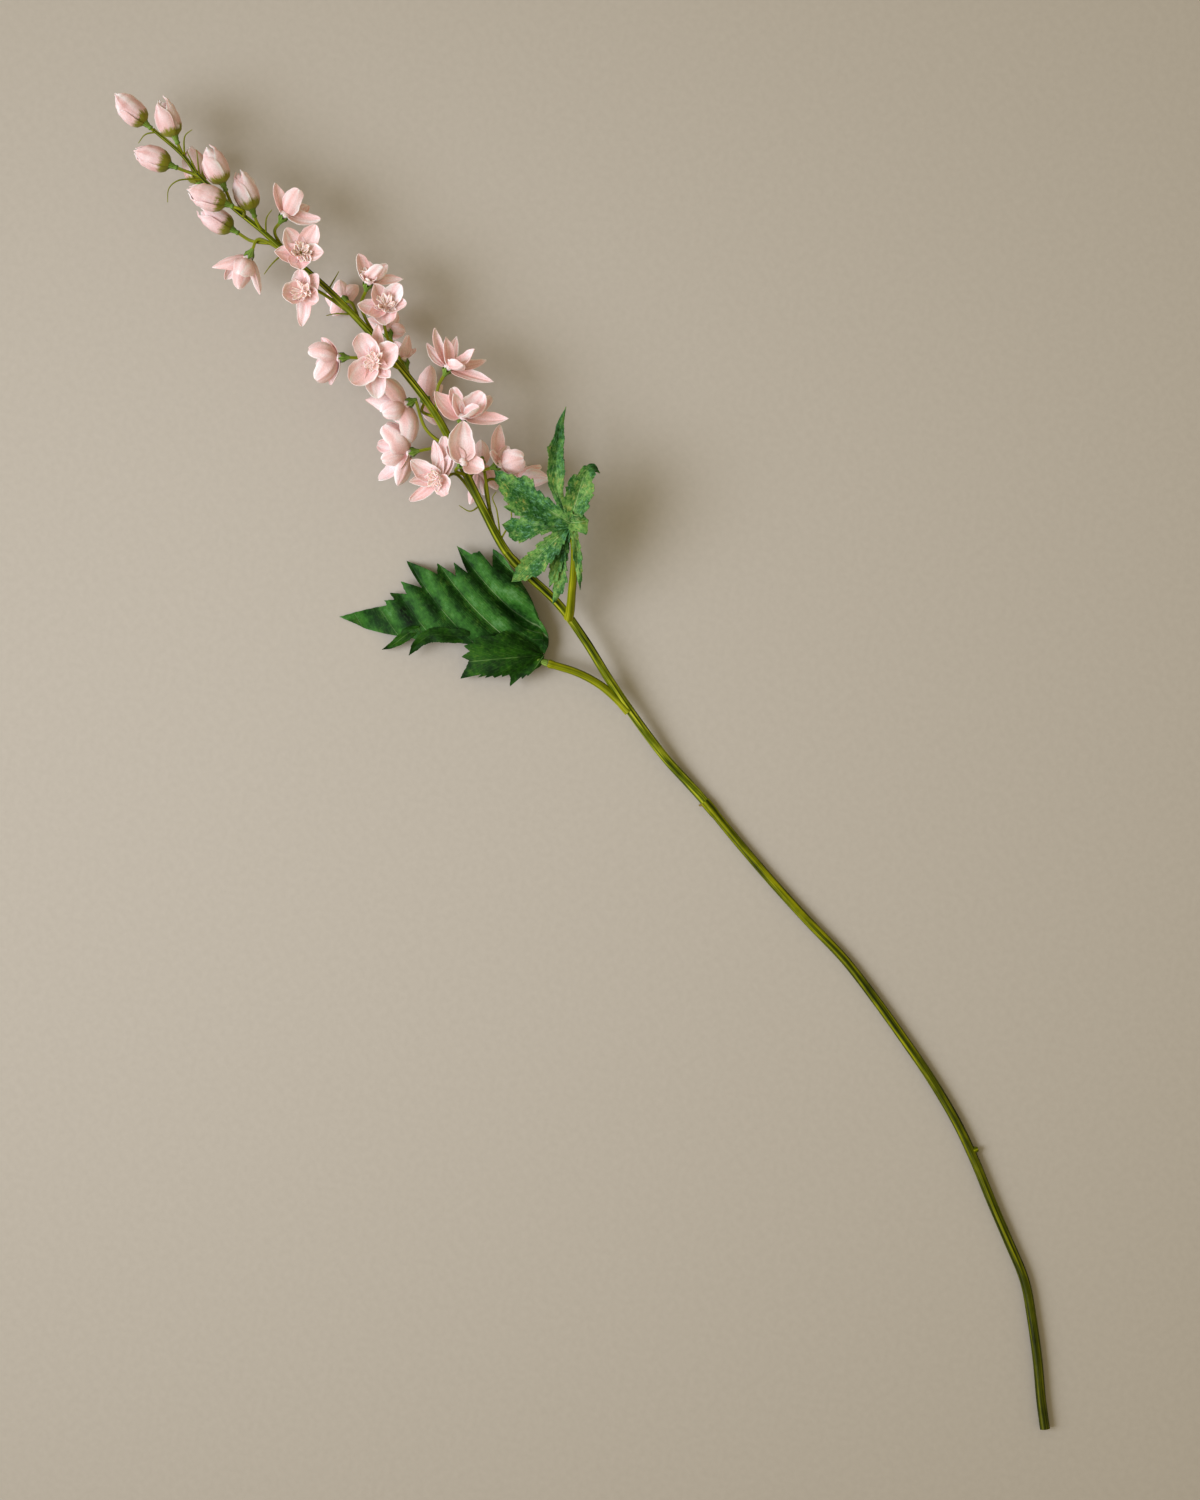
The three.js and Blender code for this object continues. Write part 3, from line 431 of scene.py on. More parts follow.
def formedSheet(name, across, along, formOf, mapOf=None):
    bpy.ops.mesh.primitive_grid_add(x_subdivisions=across, y_subdivisions=along, size=1)
    piece = bpy.context.object
    piece.name = name
    places = [(v.co.x + 0.5, v.co.y + 0.5) for v in piece.data.vertices]
    for corner, (s, t) in zip(piece.data.vertices, places):
        corner.co = formOf(s, t)
    if mapOf:
        flat = piece.data.uv_layers.active.data
        for loop in piece.data.loops:
            flat[loop.index].uv = mapOf(*places[loop.vertex_index])
    return piece


# Welds the seam, caps open ends, turns the faces outwards and smooths the shading.
def closeForm(piece, material, weld=0.001, smooth=50):
    bpy.ops.object.mode_set(mode="EDIT")
    bpy.ops.mesh.select_all(action="SELECT")
    bpy.ops.mesh.remove_doubles(threshold=weld)
    bpy.ops.mesh.fill_holes(sides=0)
    bpy.ops.mesh.normals_make_consistent(inside=False)
    bpy.ops.object.mode_set(mode="OBJECT")
    bpy.ops.object.shade_smooth_by_angle(angle=math.radians(smooth))
    piece.data.materials.append(material)
    return piece


# A round stem along a path: a sheet rolled up and closed.
def rolledStem(name, path, sides, radiusAt, material):
    ways = [(path[min(i + 1, len(path) - 1)] - path[max(i - 1, 0)]).normalized()
            for i in range(len(path))]
    side = Vector((0, 0, 1)).cross(ways[0])
    side = side.normalized() if side.length > 0.1 else ways[0].orthogonal().normalized()
    frames = []
    for point, way in zip(path, ways):
        side = (side - way * side.dot(way)).normalized()
        frames.append((point, side, way.cross(side)))

    def form(s, t):
        point, out, over = frames[round(t * (len(path) - 1))]
        angle = 2 * math.pi * s
        radius = radiusAt(t, angle)
        return point + out * radius * math.cos(angle) + over * radius * math.sin(angle)

    return closeForm(formedSheet(name, sides, len(path) - 1, form), material)


# A turned shape that stands on the origin and looks up, extruded ring by ring.
def extrudedRings(name, rings, sides, material):
    bpy.ops.mesh.primitive_circle_add(vertices=sides, radius=rings[0][1], fill_type="NGON")
    piece = bpy.context.object
    piece.name = name
    bpy.ops.object.mode_set(mode="EDIT")
    for (low, before), (high, radius) in zip(rings, rings[1:]):
        bpy.ops.mesh.extrude_region_move(TRANSFORM_OT_translate={"value": (0, 0, high - low)})
        bpy.ops.transform.resize(value=(radius / before,) * 2 + (1,), center_override=(0, 0, high))
    closeForm(piece, material)
    piece.data.transform(Matrix.Translation((0, 0, rings[0][0])))
    return piece


def standing(base, axis):  # the matrix that stands a piece on a base, looking along an axis
    return Matrix.Translation(base) @ Vector(axis).to_track_quat("Z", "Y").to_matrix().to_4x4()


def copyPiece(original, placing):
    piece = original.copy()
    piece.data = original.data.copy()
    bpy.context.collection.objects.link(piece)
    piece.data.transform(placing)
    return piece


def joinPieces(pieces, name):
    bpy.ops.object.select_all(action="DESELECT")
    for piece in pieces:
        piece.select_set(True)
    bpy.context.view_layer.objects.active = pieces[0]
    if len(pieces) > 1:
        bpy.ops.object.join()
    pieces[0].name = name
    return pieces[0]


def thicken(piece, look):
    bpy.context.view_layer.objects.active = piece
    shell = piece.modifiers.new("thickness", "SOLIDIFY")
    shell.thickness = look["thickness"]
    shell.offset = 0
    bpy.ops.object.modifier_apply(modifier="thickness")
    bpy.ops.object.shade_smooth_by_angle(angle=math.radians(look["smooth"]))


def tintPiece(piece, value):
    tint = piece.data.attributes.new("tint", "FLOAT", "POINT")
    tint.data.foreach_set("value", [value] * len(piece.data.vertices))


def finishPiece(piece, node):
    piece.data.transform(sheetToPart)
    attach(piece, "root")
    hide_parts(node)


stem = {
    "lowerLine": [
        (240, -366), (238, -351), (236, -329), (233, -307), (229, -286), (220, -264),
        (211, -243), (202, -221), (192, -200), (179, -178), (164, -156), (149, -135),
        (132, -113), (112, -92), (92, -70), (74, -49), (56, -27),
    ],
    "upperLine": [
        (56, -27, 2.4), (47, -17, 3), (36, -5, 4.6), (20, 16, 7.6), (5, 38, 10.5),
        (-8, 59, 13.2), (-22, 78, 15.8), (-41, 96, 19.2), (-50, 106, 21),
    ],
    "spikeLine": [
        (-50, 106, 21), (-62, 128, 25), (-75, 155, 28), (-87, 178, 29.5), (-105, 202, 31),
        (-130, 230, 32), (-146, 246, 33), (-168, 265, 34), (-179, 275, 34.5),
        (-195, 288, 35), (-213, 305, 35.5), (-221, 315, 36), (-236, 328, 36),
    ],
    "step": 2,  # mm between rings
    "buttRadius": 2.68, "jointRadius": 2.44, "neckRadius": 2.3, "tipRadius": 0.95,
    "rest": 0.95,  # of the radius, how high the axis of the lower stem lies
    "mouth": 9, "mouthTaper": 1.5, "mouthExtra": 0.38,  # mm, the lower stem's end at its joint
    "ridges": 5, "ridge": 0.05, "lowerRidge": 0.025,  # of the radius
    "collar": (5, 12),  # mm from the spike, where a moulded sleeve hides the next joint
    "collarExtra": 0.3,
    "sides": 24,
}
lowerLast = len(stem["lowerLine"]) - 1
lowerLine = [
    (x, y, mixed(stem["buttRadius"], stem["jointRadius"], i / lowerLast) * stem["rest"])
    for i, (x, y) in enumerate(stem["lowerLine"])
]
wholeStem = smoothPath(lowerLine + stem["upperLine"][1:] + stem["spikeLine"][1:], stem["step"])


def nearest(path, place):
    gaps = [math.hypot(p.x - place[0], p.y - place[1]) for p in path]
    return gaps.index(min(gaps))


joint = nearest(wholeStem, stem["upperLine"][0])
neck = nearest(wholeStem, stem["spikeLine"][0])


def ridged(radius, angle, count=stem["ridges"], depth=stem["ridge"]):
    return radius * (1 + depth * math.cos(count * angle))


def lowerRadius(t, angle):
    fromMouth = (1 - t) * stem["step"] * joint
    mouth = min(max((stem["mouth"] - fromMouth) / stem["mouthTaper"], 0), 1)
    radius = mixed(stem["buttRadius"], stem["jointRadius"], t) + stem["mouthExtra"] * mouth
    return ridged(radius, angle, depth=stem["lowerRidge"])


def placed(piece, base, axis):
    piece.data.transform(standing(base, axis))
    return piece


lowerMarks = [  # place, way out, sides, plastic, and rings of height and radius
    ("leafScar", (201, -216, 2.6), (0.94, 0.34, 0.15), 10, stemPlastic,
     [(-1, 2.1), (1.4, 1.9), (2.4, 1.5), (3, 1.35), (3.1, 0.8)]),
    ("flash", (57.4, -28.8, 2.6), (-0.96, -0.28, 0.05), 8, cutPlastic,
     [(0, 1.3), (2.4, 1.0), (3.8, 0.6), (4.3, 0.3)]),
    ("cutEnd", lowerLine[0], (0.13, -0.99, 0), 20, cutPlastic,
     [(-0.2, 2.55), (0.12, 2.5), (0.16, 2.1), (-0.1, 1.9)]),
]
lowerParts = [rolledStem("lowerStem", wholeStem[:joint + 1], stem["sides"], lowerRadius, stemPlastic)]
for name, base, way, sides, plastic, rings in lowerMarks:
    lowerParts.append(placed(extrudedRings(name, rings, sides, plastic), base, way))
finishPiece(joinPieces(lowerParts, "lowerStem"), "lower_stem")


def upperRadius(t, angle):
    fromSpike = (1 - t) * stem["step"] * (neck - joint)
    near, far = stem["collar"]
    sleeve = stem["collarExtra"] if near < fromSpike < far else 0
    return ridged(mixed(stem["jointRadius"], stem["neckRadius"], t) + sleeve, angle)


upperPath = wholeStem[joint:neck + 1]
upperStem = rolledStem("upperStem", upperPath, stem["sides"], upperRadius, spikePlastic)
finishPiece(upperStem, "upper_stem")

stalks = {
    "radius": 2.05, "sides": 18, "step": 1.2,  # mm
    "flare": 0.4,  # mm, where a stalk meets the stem
    "rim": 0.25, "rimShare": (0.02, 0.06),  # mm proud, and where it lies along the stalk
    "ridges": 4, "ridge": 0.03,
    "lower": [(-28, 46.6, 9), (-12, 41.5, 9), (0, 35, 9), (9, 27.5, 9), (15.5, 20.5, 8.6)],
    "upper": [(-13.5, 112, 38), (-13.5, 100, 34), (-15, 84, 25), (-16, 74, 18), (-17, 70, 15.5)],
}


def stalkRadius(t, angle):
    start, end = stalks["rimShare"]
    rim = stalks["rim"] if start < t < end else 0
    radius = stalks["radius"] + stalks["flare"] * t ** 3 + rim
    return ridged(radius, angle, stalks["ridges"], stalks["ridge"])


for which in ("lower", "upper"):
    path = smoothPath(stalks[which], stalks["step"])
    stalk = rolledStem(which + "Stalk", path, stalks["sides"], stalkRadius, stalkPlastic)
    finishPiece(stalk, which + "_leaf_stalk")
print("stems made")

buds = {
    "length": 20.6, "radius": 6.5, "thickness": 0.3,  # mm
    "smooth": 60,  # degrees
    "petals": 5, "outer": 3, "open": 2,  # all, those outside, and those of them that lean out
    "jitter": 14,  # degrees
    "cells": (16, 22),
    "girth": [(0, 0.36), (0.08, 0.7), (0.2, 0.93), (0.42, 1), (0.65, 0.9), (0.85, 0.58), (1, 0.2)],
    "heart": [(0, 0.3), (0.2, 0.8), (0.5, 0.86), (0.75, 0.66), (0.9, 0.36), (1, 0.02)],
    "span": (78, 120),  # degrees to each side that an outer and an inner petal wrap round
    "inner": 0.95,  # of the length, how tall the inner petals are
    "proud": 0.07,  # of the radius, how far a petal's edge stands over the next one
    "lean": 9,  # mm that an open petal's tip leans out
    "ripple": 0.13,  # mm
    "crease": (0.2, 0.12),  # mm deep, and how wide for half a petal
    "bow": 0.04,  # of the length, how far a petal's sides stay behind its middle
    "each": [  # base, way to the tip, foot of the pedicel, turn of the petals, how open the tips are
        {"at": (-241, 332, 36), "to": (-15, 13, 2), "foot": (-236, 328), "turn": 20, "open": 1.1},
        {"at": (-225, 325, 37), "to": (-8, 20, 4), "foot": (-221, 316), "turn": 60, "open": 0.5},
        {"at": (-228, 310, 34), "to": (-20, 8, -2), "foot": (-212, 304), "turn": 0, "open": 0.4},
        {"at": (-214, 303, 20), "to": (-5, 18, -1), "foot": (-206, 298), "turn": 30, "open": 0.6},
        {"at": (-199, 299, 43), "to": (-8, 19, 4), "foot": (-194, 288), "turn": 75, "open": 0.15},
        {"at": (-197, 287, 49), "to": (-20, 7, 1), "foot": (-188, 283), "turn": 10, "open": 0.5},
        {"at": (-196, 277, 28), "to": (-15, 9, -1), "foot": (-173, 268), "turn": 40, "open": 0.3},
        {"at": (-184, 286, 38), "to": (-7, 19, 2), "foot": (-177, 276), "turn": 70, "open": 0.3},
    ],
}


def makeBud(number, bud):
    chance = random.Random(number)
    axis = Vector(bud["to"]).normalized()
    out = (Vector((0, 0, 1)) - axis * axis.z).normalized()
    over = axis.cross(out)
    wraps = []
    deep, wide = buds["crease"]
    for k in range(buds["petals"]):
        inner = k >= buds["outer"]
        centre = math.radians(bud["turn"] + (60 + 180 * k if inner else 120 * k))
        centre += math.radians(chance.uniform(-buds["jitter"], buds["jitter"]))
        tall = chance.uniform(0.93, 1.04) * (buds["inner"] if inner else 1)
        leaning = bud["open"] * chance.uniform(0.8, 1.2) * (k < buds["open"])
        girth = buds["radius"] * (1 if inner else chance.uniform(0.95, 1.02))
        twist = chance.uniform(-0.3, 0.3)
        outline = buds["heart" if inner else "girth"]
        span = math.radians(buds["span"][inner])

        def form(s, t):
            u = toTip(t)
            side = 2 * s - 1
            taper = 1 if inner or u < 0.5 else max(1 - ((u - 0.5) / 0.5) ** 2, 0.12)
            angle = centre + side * span * taper + twist * u
            radius = girth * alongList(outline, u) * (1 + buds["proud"] * side)
            radius += leaning * buds["lean"] * max(u - 0.5, 0) ** 1.5
            radius += buds["ripple"] * math.sin(6 * side + 4 * u + k) * (0.4 + u)
            radius -= deep * math.exp(-(side / wide) ** 2) * u
            height = buds["length"] * tall * (u - buds["bow"] * u * side * side)
            return (Vector(bud["at"]) + axis * height
                    + out * radius * math.cos(angle) + over * radius * math.sin(angle))

        petal = formedSheet("budPetal", *buds["cells"], form, lambda s, t: (s, toTip(t)))
        tintPiece(petal, chance.uniform(0, 9))
        wraps.append(petal)
    whole = joinPieces(wraps, "bud" + str(number))
    whole.data.materials.append(budCloth)
    thicken(whole, buds)
    finishPiece(whole, "bud_" + str(number))


for number, bud in enumerate(buds["each"], 1):
    makeBud(number, bud)
print("buds made")

petals = {
    "thickness": 0.26, "smooth": 60,  # mm, degrees
    "core": 2.7,  # mm, the radius of a flower's middle
    "heart": [(0, 0.3), (0.3, 0.7), (0.8, 1.05), (1.2, 0.8), (1.4, 0.2)],  # in cores
    "eye": [(1.3, 0.9), (1.8, 0.8), (2, 0.6), (2.1, 0.2)],  # heights in cores, radii in mm
    "stagger": (0.6, 0.22),  # in cores, how far in front of the back petals start, and each step
    "cells": (16, 22), "end": 0.992,  # the last row ends just short of the tip's point
    "kinds": {  # how the outline swells and closes, how deep it is cupped, curled and bowed
        "oval": {"rise": 0.56, "fall": 0.68, "cup": 0.42, "curl": 0.0, "bow": 0.13},
        "point": {"rise": 0.55, "fall": 0.88, "cup": 0.42, "curl": -0.03, "bow": 0.11},
        "round": {"rise": 0.54, "fall": 0.5, "cup": 0.5, "curl": 0.03, "bow": 0.14},
        "boat": {"rise": 0.5, "fall": 0.64, "cup": 0.7, "curl": 0.05, "bow": 0.13},
        "puff": {"rise": 0.46, "fall": 0.46, "cup": 0.62, "curl": 0.1, "bow": 0.2},
    },
    "root": 0.36,  # half the width left at the root, of half the petal's width
    "lie": 0.9,  # how far a petal lies over, so that its broad side shows from above
    "wave": 0.045, "nick": 0.025,  # of half the width, along the edge
    "roll": 9, "sweep": 0.05,  # degrees, and of the length, to either side
    "ripple": 0.5,  # mm
    "fold": 0.2,  # mm, how deep the pressed folds are
    "crease": (0.42, 0.13),  # mm deep, and how wide for half a petal
    "frill": 8, "frillWidth": 3.6, "frillCells": (6, 9),  # small petals round the stamens
    "jitter": 14,  # degrees
}
flowers = [  # back of the head, way it faces, foot of the pedicel; petals: tip, width, kind or oval
    {"at": (-168, 282, 34), "face": (55, 20), "foot": (-167, 264),
     "petals": [(-4, 18, 4, 7), (9, 14, 7, 11, "round"), (20, -1, 0, 9),
                (4, 15, -9, 9), (13, 8, -9, 9)]},
    {"at": (-158, 260, 44), "face": (60, 70), "foot": (-158, 257), "stamens": True, "peg": True,
     "petals": [(-7, 14, 6, 11), (9, 16, 5, 11), (13, 1, 6, 10),
                (-13, 2, 5, 10, "point"), (1, -8, 7, 12)]},
    {"at": (-186, 263, 30), "face": (240, -15), "foot": (-168, 264),
     "petals": [(-20, -7, 0, 9, "point"), (-4, -11, 9, 12, "puff"), (-6, -18, -3, 11),
                (5, -21, -3, 6, "point"), (-14, -12, -9, 8)]},
    {"at": (-155, 242, 42), "face": (200, 65), "foot": (-131, 230), "stamens": True,
     "petals": [(-2, 11, 6, 10, "round"), (7, 8, 7, 9), (-12, -3, 7, 12, "round"),
                (-2, -19, 3, 8), (7, -6, 6, 10)]},
    {"at": (-137, 241, 12.2), "face": (150, -60), "foot": (-127, 227),
     "petals": [(-3, 12, -5, 9), (7, 9, -7, 8), (-11, 4, -8, 11),
                (-7, -7, -8, 9)]},
    {"at": (-123, 246, 36), "face": (70, 30), "foot": (-117, 217), "stamens": True,
     "petals": [(-5, 16, 4, 8, "boat"), (9, 8, 10, 10, "round"), (19, 4, -3, 7, "point"),
                (10, 12, -6, 8), (0, 14, -7, 8)]},
    {"at": (-114, 233, 34), "face": (80, 60), "foot": (-109, 207), "stamens": True,
     "petals": [(-5, 13, 7, 10), (9, 13, 6, 10, "round"), (12, 3, 6, 9),
                (-14, 2, 7, 9), (1, -9, 9, 12), (-8, -4, 10, 7)]},
    {"at": (-113, 222, 20), "face": (115, -20), "foot": (-101, 196),
     "petals": [(-12, 8, -2, 9), (5, 12, -2, 11, "round"), (9, 2, -4, 9),
                (-5, 12, -10, 9)]},
    {"at": (-137, 209, 25), "face": (180, -5), "foot": (-113, 211),
     "petals": [(-17, 4, 7, 11, "puff"), (-12, 11, -4, 9, "point"), (-13, -13, 3, 12, "puff"),
                (-7, -14, -5, 8), (-15, -3, -9, 9)]},
    {"at": (-118, 205, 43), "face": (200, 70), "foot": (-105, 202), "stamens": True,
     "petals": [(-8, 14, 6, 13, "round"), (-13, -12, 5, 14, "round"), (1, -20, 2, 11, "round"),
                (1, 19, 5, 8, "point"), (12, 7, 8, 14), (8, -9, 6, 8)]},
    {"at": (-101, 185, 26), "face": (205, -10), "foot": (-77, 158), "via": (-92, 170, 27),
     "petals": [(-24, 1, 0, 12, "point"), (-13, 12, 5, 13, "round"), (-14, -6, 8, 12, "puff"),
                (2, -21, -2, 15, "puff"), (-9, -9, -10, 10)]},
    {"at": (-100, 159, 21), "face": (190, -10), "foot": (-78, 160),
     "petals": [(-13, 15, 6, 16, "puff"), (-19, 5, -6, 11, "round"), (-16, -5, 6, 9, "round"),
                (-18, -15, -5, 12, "round"), (-8, -18, 0, 10), (-13, -4, -10, 10)]},
    {"at": (-84, 144, 34), "face": (200, 55), "foot": (-59, 122), "stamens": True,
     "petals": [(-16, 9, 6, 10), (-4, 20, 3, 7), (2, 22, 4, 8, "round"),
                (7, 15, 4, 7, "point"), (4, -9, 8, 11, "round"), (-17, -12, -1, 7),
                (-17, -2, 4, 7, "point")]},
    {"at": (-81, 201, 36), "face": (60, 25), "foot": (-87, 178),
     "petals": [(-7, 22, 3, 6, "boat"), (-11, 15, -3, 7, "point"), (0, 17, 6, 7, "point"),
                (5, 19, -6, 7, "point"), (15, 10, 8, 10), (21, 6, -4, 7, "point"),
                (25, -6, 1, 7, "point"), (9, 1, 11, 9, "boat")]},
    {"at": (-73, 174, 42), "face": (70, 35), "foot": (-77, 159),
     "petals": [(-14, 15, 5, 11, "point"), (-5, 17, 1, 8, "round"), (12, 14, 2, 12, "round"),
                (16, 12, -4, 8, "round"), (25, 1, 2, 9, "point"), (10, 5, 11, 9, "boat"),
                (-4, 13, 8, 7)]},
    {"at": (-73, 151, 40), "face": (40, 50), "foot": (-71, 146),
     "petals": [(1, 22, 8, 14), (12, -3, 4, 11), (-8, 9, 4, 8)]},
    {"at": (-64, 154, 13), "face": (250, -40), "foot": (-57, 120), "via": (-61, 145, 22),
     "petals": [(0, 13, -7, 9), (-6, -22, -7, 7), (2, -17, -6, 8),
                (9, -14, -4, 8)]},
    {"at": (-55, 151, 28), "face": (20, 10), "foot": (-57, 118),
     "petals": [(2, 22, 2, 9), (14, 3, 8, 13, "puff"), (6, 11, -3, 7),
                (13, -1, -8, 9), (-3, 7, 9, 7)]},
    {"at": (-47, 144, 15), "face": (0, -10), "foot": (-55, 116),
     "petals": [(15, 9, -2, 8, "round"), (20, 1, 4, 10), (10, -7, -6, 8),
                (8, 9, -15, 7)]},
    {"at": (-94, 188, 9.7), "face": (80, -50), "foot": (-86, 176),
     "petals": [(3, 19, -3, 10), (6, -13, -5, 9), (9, 9, -8, 8)]},
    {"at": (-104, 206, 23), "face": (110, -5), "foot": (-99, 194),
     "petals": [(2, 15, 1, 8), (-6, 13, -8, 8), (5, 9, -9, 7)]},
]


def direction(heading, rise):
    flat = math.cos(math.radians(rise))
    return Vector((flat * math.cos(math.radians(heading)),
                   flat * math.sin(math.radians(heading)), math.sin(math.radians(rise))))


def makePetal(root, tip, width, facing, kind, chance, cells=petals["cells"]):
    shape = petals["kinds"][kind]
    along = (tip - root).normalized()
    length = (tip - root).length
    looks = (facing - along * facing.dot(along)).normalized()
    looks.z += petals["lie"] if looks.z > 0 else -petals["lie"]
    across = along.cross(looks).normalized()
    inward = across.cross(along).normalized()
    roll = math.radians(chance.uniform(-petals["roll"], petals["roll"]))
    across, inward = (across * math.cos(roll) + inward * math.sin(roll),
                      inward * math.cos(roll) - across * math.sin(roll))
    rise, fall = shape["rise"], shape["fall"]
    peak = rise / (rise + fall)
    most = peak ** rise * (1 - peak) ** fall
    phase, cup = chance.uniform(0, 6), shape["cup"] * chance.uniform(0.75, 1.25)
    sweep = chance.uniform(-petals["sweep"], petals["sweep"]) * length
    bow = shape["bow"] * chance.uniform(0.8, 1.2)
    deep, wide = petals["crease"]

    def form(s, t):
        u = petals["end"] * toTip(t)
        side = 2 * s - 1
        swell = u ** rise * (1 - u) ** fall / most + petals["root"] * (1 - u) ** 4
        half = width / 2 * swell * (1 + petals["wave"] * math.sin(phase + 9 * u + 2 * side))
        half *= 1 + petals["nick"] * math.sin(23 * u + 3 * side + 2 * phase)
        height = -4 * bow * u * (1 - u) * length + shape["curl"] * length * u ** 3
        height += cup * half * side * side
        height -= deep * math.exp(-(side / wide) ** 2) * (1 - 0.6 * u)
        height += petals["ripple"] * side * side * math.sin(phase + 8 * u + 2 * side) * u
        height += petals["fold"] * math.sin(8 * side + phase) * (1 - u * u)
        aside = side * half + 4 * sweep * u * (1 - u)
        return root + along * (u * length) + across * aside + inward * height

    petal = formedSheet("petal", *cells, form, lambda s, t: (s, petals["end"] * toTip(t)))
    tintPiece(petal, chance.uniform(0, 9))
    return petal


def makeFlower(number, flower):
    chance = random.Random(100 + number)
    facing = direction(*flower["face"])
    back = Vector(flower["at"])
    core = petals["core"]
    middle = back + facing * core
    first, step = petals["stagger"]
    sheets = []
    for k, (x, y, z, width, *kind) in enumerate(flower["petals"]):
        tip = back + Vector((x, y, z))
        root = back + facing * core * (first + step * (k % 3))
        kind = kind[0] if kind else "oval"
        sheets.append(makePetal(root.lerp(tip, 0.04), tip, width, facing, kind, chance))
    whole = joinPieces(sheets, "petals" + str(number))
    whole.data.materials.append(petalCloth)
    thicken(whole, petals)
    rings = [(height * core, radius * core) for height, radius in petals["heart"]]
    heart = placed(extrudedRings("heart", rings, 12, petalCloth), back, facing)
    tintPiece(heart, 3)
    parts = [whole, heart]
    if flower.get("stamens"):  # a frill of small pale petals round the stamens
        side = facing.orthogonal().normalized()
        small = []
        for k in range(petals["frill"]):
            angle = 360 / petals["frill"] * k + chance.uniform(-petals["jitter"], petals["jitter"])
            turn = Matrix.Rotation(math.radians(angle), 3, facing)
            way = (facing * chance.uniform(0.1, 1.1) + turn @ side).normalized()
            tip = middle + facing + way * chance.uniform(5, 8)
            small.append(makePetal(middle, tip, petals["frillWidth"], facing, "oval", chance,
                                   petals["frillCells"]))
        frill = joinPieces(small, "frill")
        frill.data.materials.append(frillCloth)
        thicken(frill, petals)
        parts.append(frill)
        eye = [(height * core, radius) for height, radius in petals["eye"]]
        peg = cutPlastic if flower.get("peg") else frillCloth  # the peg's green end, or a small bud
        parts.append(placed(extrudedRings("eye", eye, 10, peg), back, facing))
    finishPiece(joinPieces(parts, "flower" + str(number)), "flower_" + str(number))


stamens = {
    "threads": 13, "sides": 6,
    "line": [(0, 0, 0), (0.405, 0, 3.3), (1.17, 0, 6.6)], "step": 0.6,  # mm
    "radius": 0.28, "anther": 0.36, "end": 0.12,  # mm
    "antherAt": 0.86, "endAt": 0.97,  # share of the thread
    "base": 1.45,  # in cores, in front of the flower's back
    "turn": 137.5,  # degrees from each thread to the next
}


def threadRadius(t, angle):
    if t > stamens["endAt"]:
        return stamens["end"]
    return stamens["anther"] if t > stamens["antherAt"] else stamens["radius"]


threadPath = smoothPath(stamens["line"], stamens["step"])
oneThread = rolledStem("thread", threadPath, stamens["sides"], threadRadius, threadPlastic)


def makeStamens(number, flower):
    chance = random.Random(200 + number)
    facing = direction(*flower["face"])
    base = Vector(flower["at"]) + facing * stamens["base"] * petals["core"]
    side = facing.orthogonal().normalized()
    threads = []
    for k in range(stamens["threads"]):
        outward = Matrix.Rotation(math.radians(stamens["turn"] * k), 3, facing) @ side
        way = facing + outward * chance.uniform(0.4, 2.2)
        spin = Matrix.Rotation(chance.uniform(0, 2 * math.pi), 4, "Z")
        tall = Matrix.Diagonal((1, 1, chance.uniform(0.7, 1.1), 1))
        start = base + outward * chance.uniform(0.1, 0.8)
        threads.append(copyPiece(oneThread, standing(start, way) @ spin @ tall))
    whole = joinPieces(threads, "stamens" + str(number))
    finishPiece(whole, "stamens_" + str(number))


for number, flower in enumerate(flowers, 1):
    makeFlower(number, flower)
    if flower.get("stamens"):
        makeStamens(number, flower)
bpy.data.objects.remove(oneThread)
print("flowers made")

spike = {
    "sides": 20, "ridge": 0.07,  # of the radius
    "pedicel": 0.85, "pedicelSides": 9, "pedicelStep": 1.2,  # mm
    "pedicelRoot": 0.35,  # of the radius, how much wider a pedicel is at the stem
    "straight": 0.35,  # of its length, how far it runs straight on behind its flower
    "pedicelRidges": 3,
    "bract": 0.5, "bractTip": 0.2, "bractSides": 6,  # mm
    "cupSides": 20, "cupPoints": 5,
    "budCollar": {"length": 4.5, "rings": [
        (-0.6, 0.7), (0, 1.35), (0.4, 1.5), (0.8, 1.25), (1.9, 1.2), (2.3, 1.5), (3.6, 1.7),
        (4.4, 2.2), (5.2, 2.35), (5.3, 2.05), (4.6, 0.8)]},
    "calyx": {"length": 3.2, "rings": [
        (-0.8, 0.7), (-0.2, 1.15), (0.5, 1.25), (1.3, 1.7), (2.3, 2.35), (3.3, 2.75),
        (4.3, 2.8), (4.3, 2.5), (3.2, 2.1), (3, 0.8)]},
    "points": (1.3, 0.3),  # mm, how far the five points of a calyx and of a bud's collar stand up
    "bracts": [
        [(-235, 327, 36), (-241, 326, 34), (-245, 322, 31)],
        [(-220, 315, 36), (-219, 324, 41), (-215, 327, 43)],
        [(-213, 305, 36), (-218, 316, 42)],
        [(-212, 304, 36), (-213, 317, 40)],
        [(-210, 302, 36), (-223, 301, 38), (-228, 297, 37), (-229, 290, 35)],
        [(-177, 274, 35), (-176, 281, 40), (-173, 285, 42)],
        [(-167, 264, 34), (-174, 257, 35), (-178, 252, 34)],
        [(-144, 244, 33), (-138, 253, 38)],
        [(-131, 231, 32), (-140, 231, 35), (-145, 230, 35)],
        [(-63, 131, 25), (-69, 127, 27), (-75, 130, 28)],
        [(-53, 112, 22), (-55, 128, 28), (-57, 134, 31), (-55, 137, 32)],
        [(-53, 112, 22), (-47, 124, 29), (-50, 134, 30)],
    ],
}
spikePath = wholeStem[neck:]


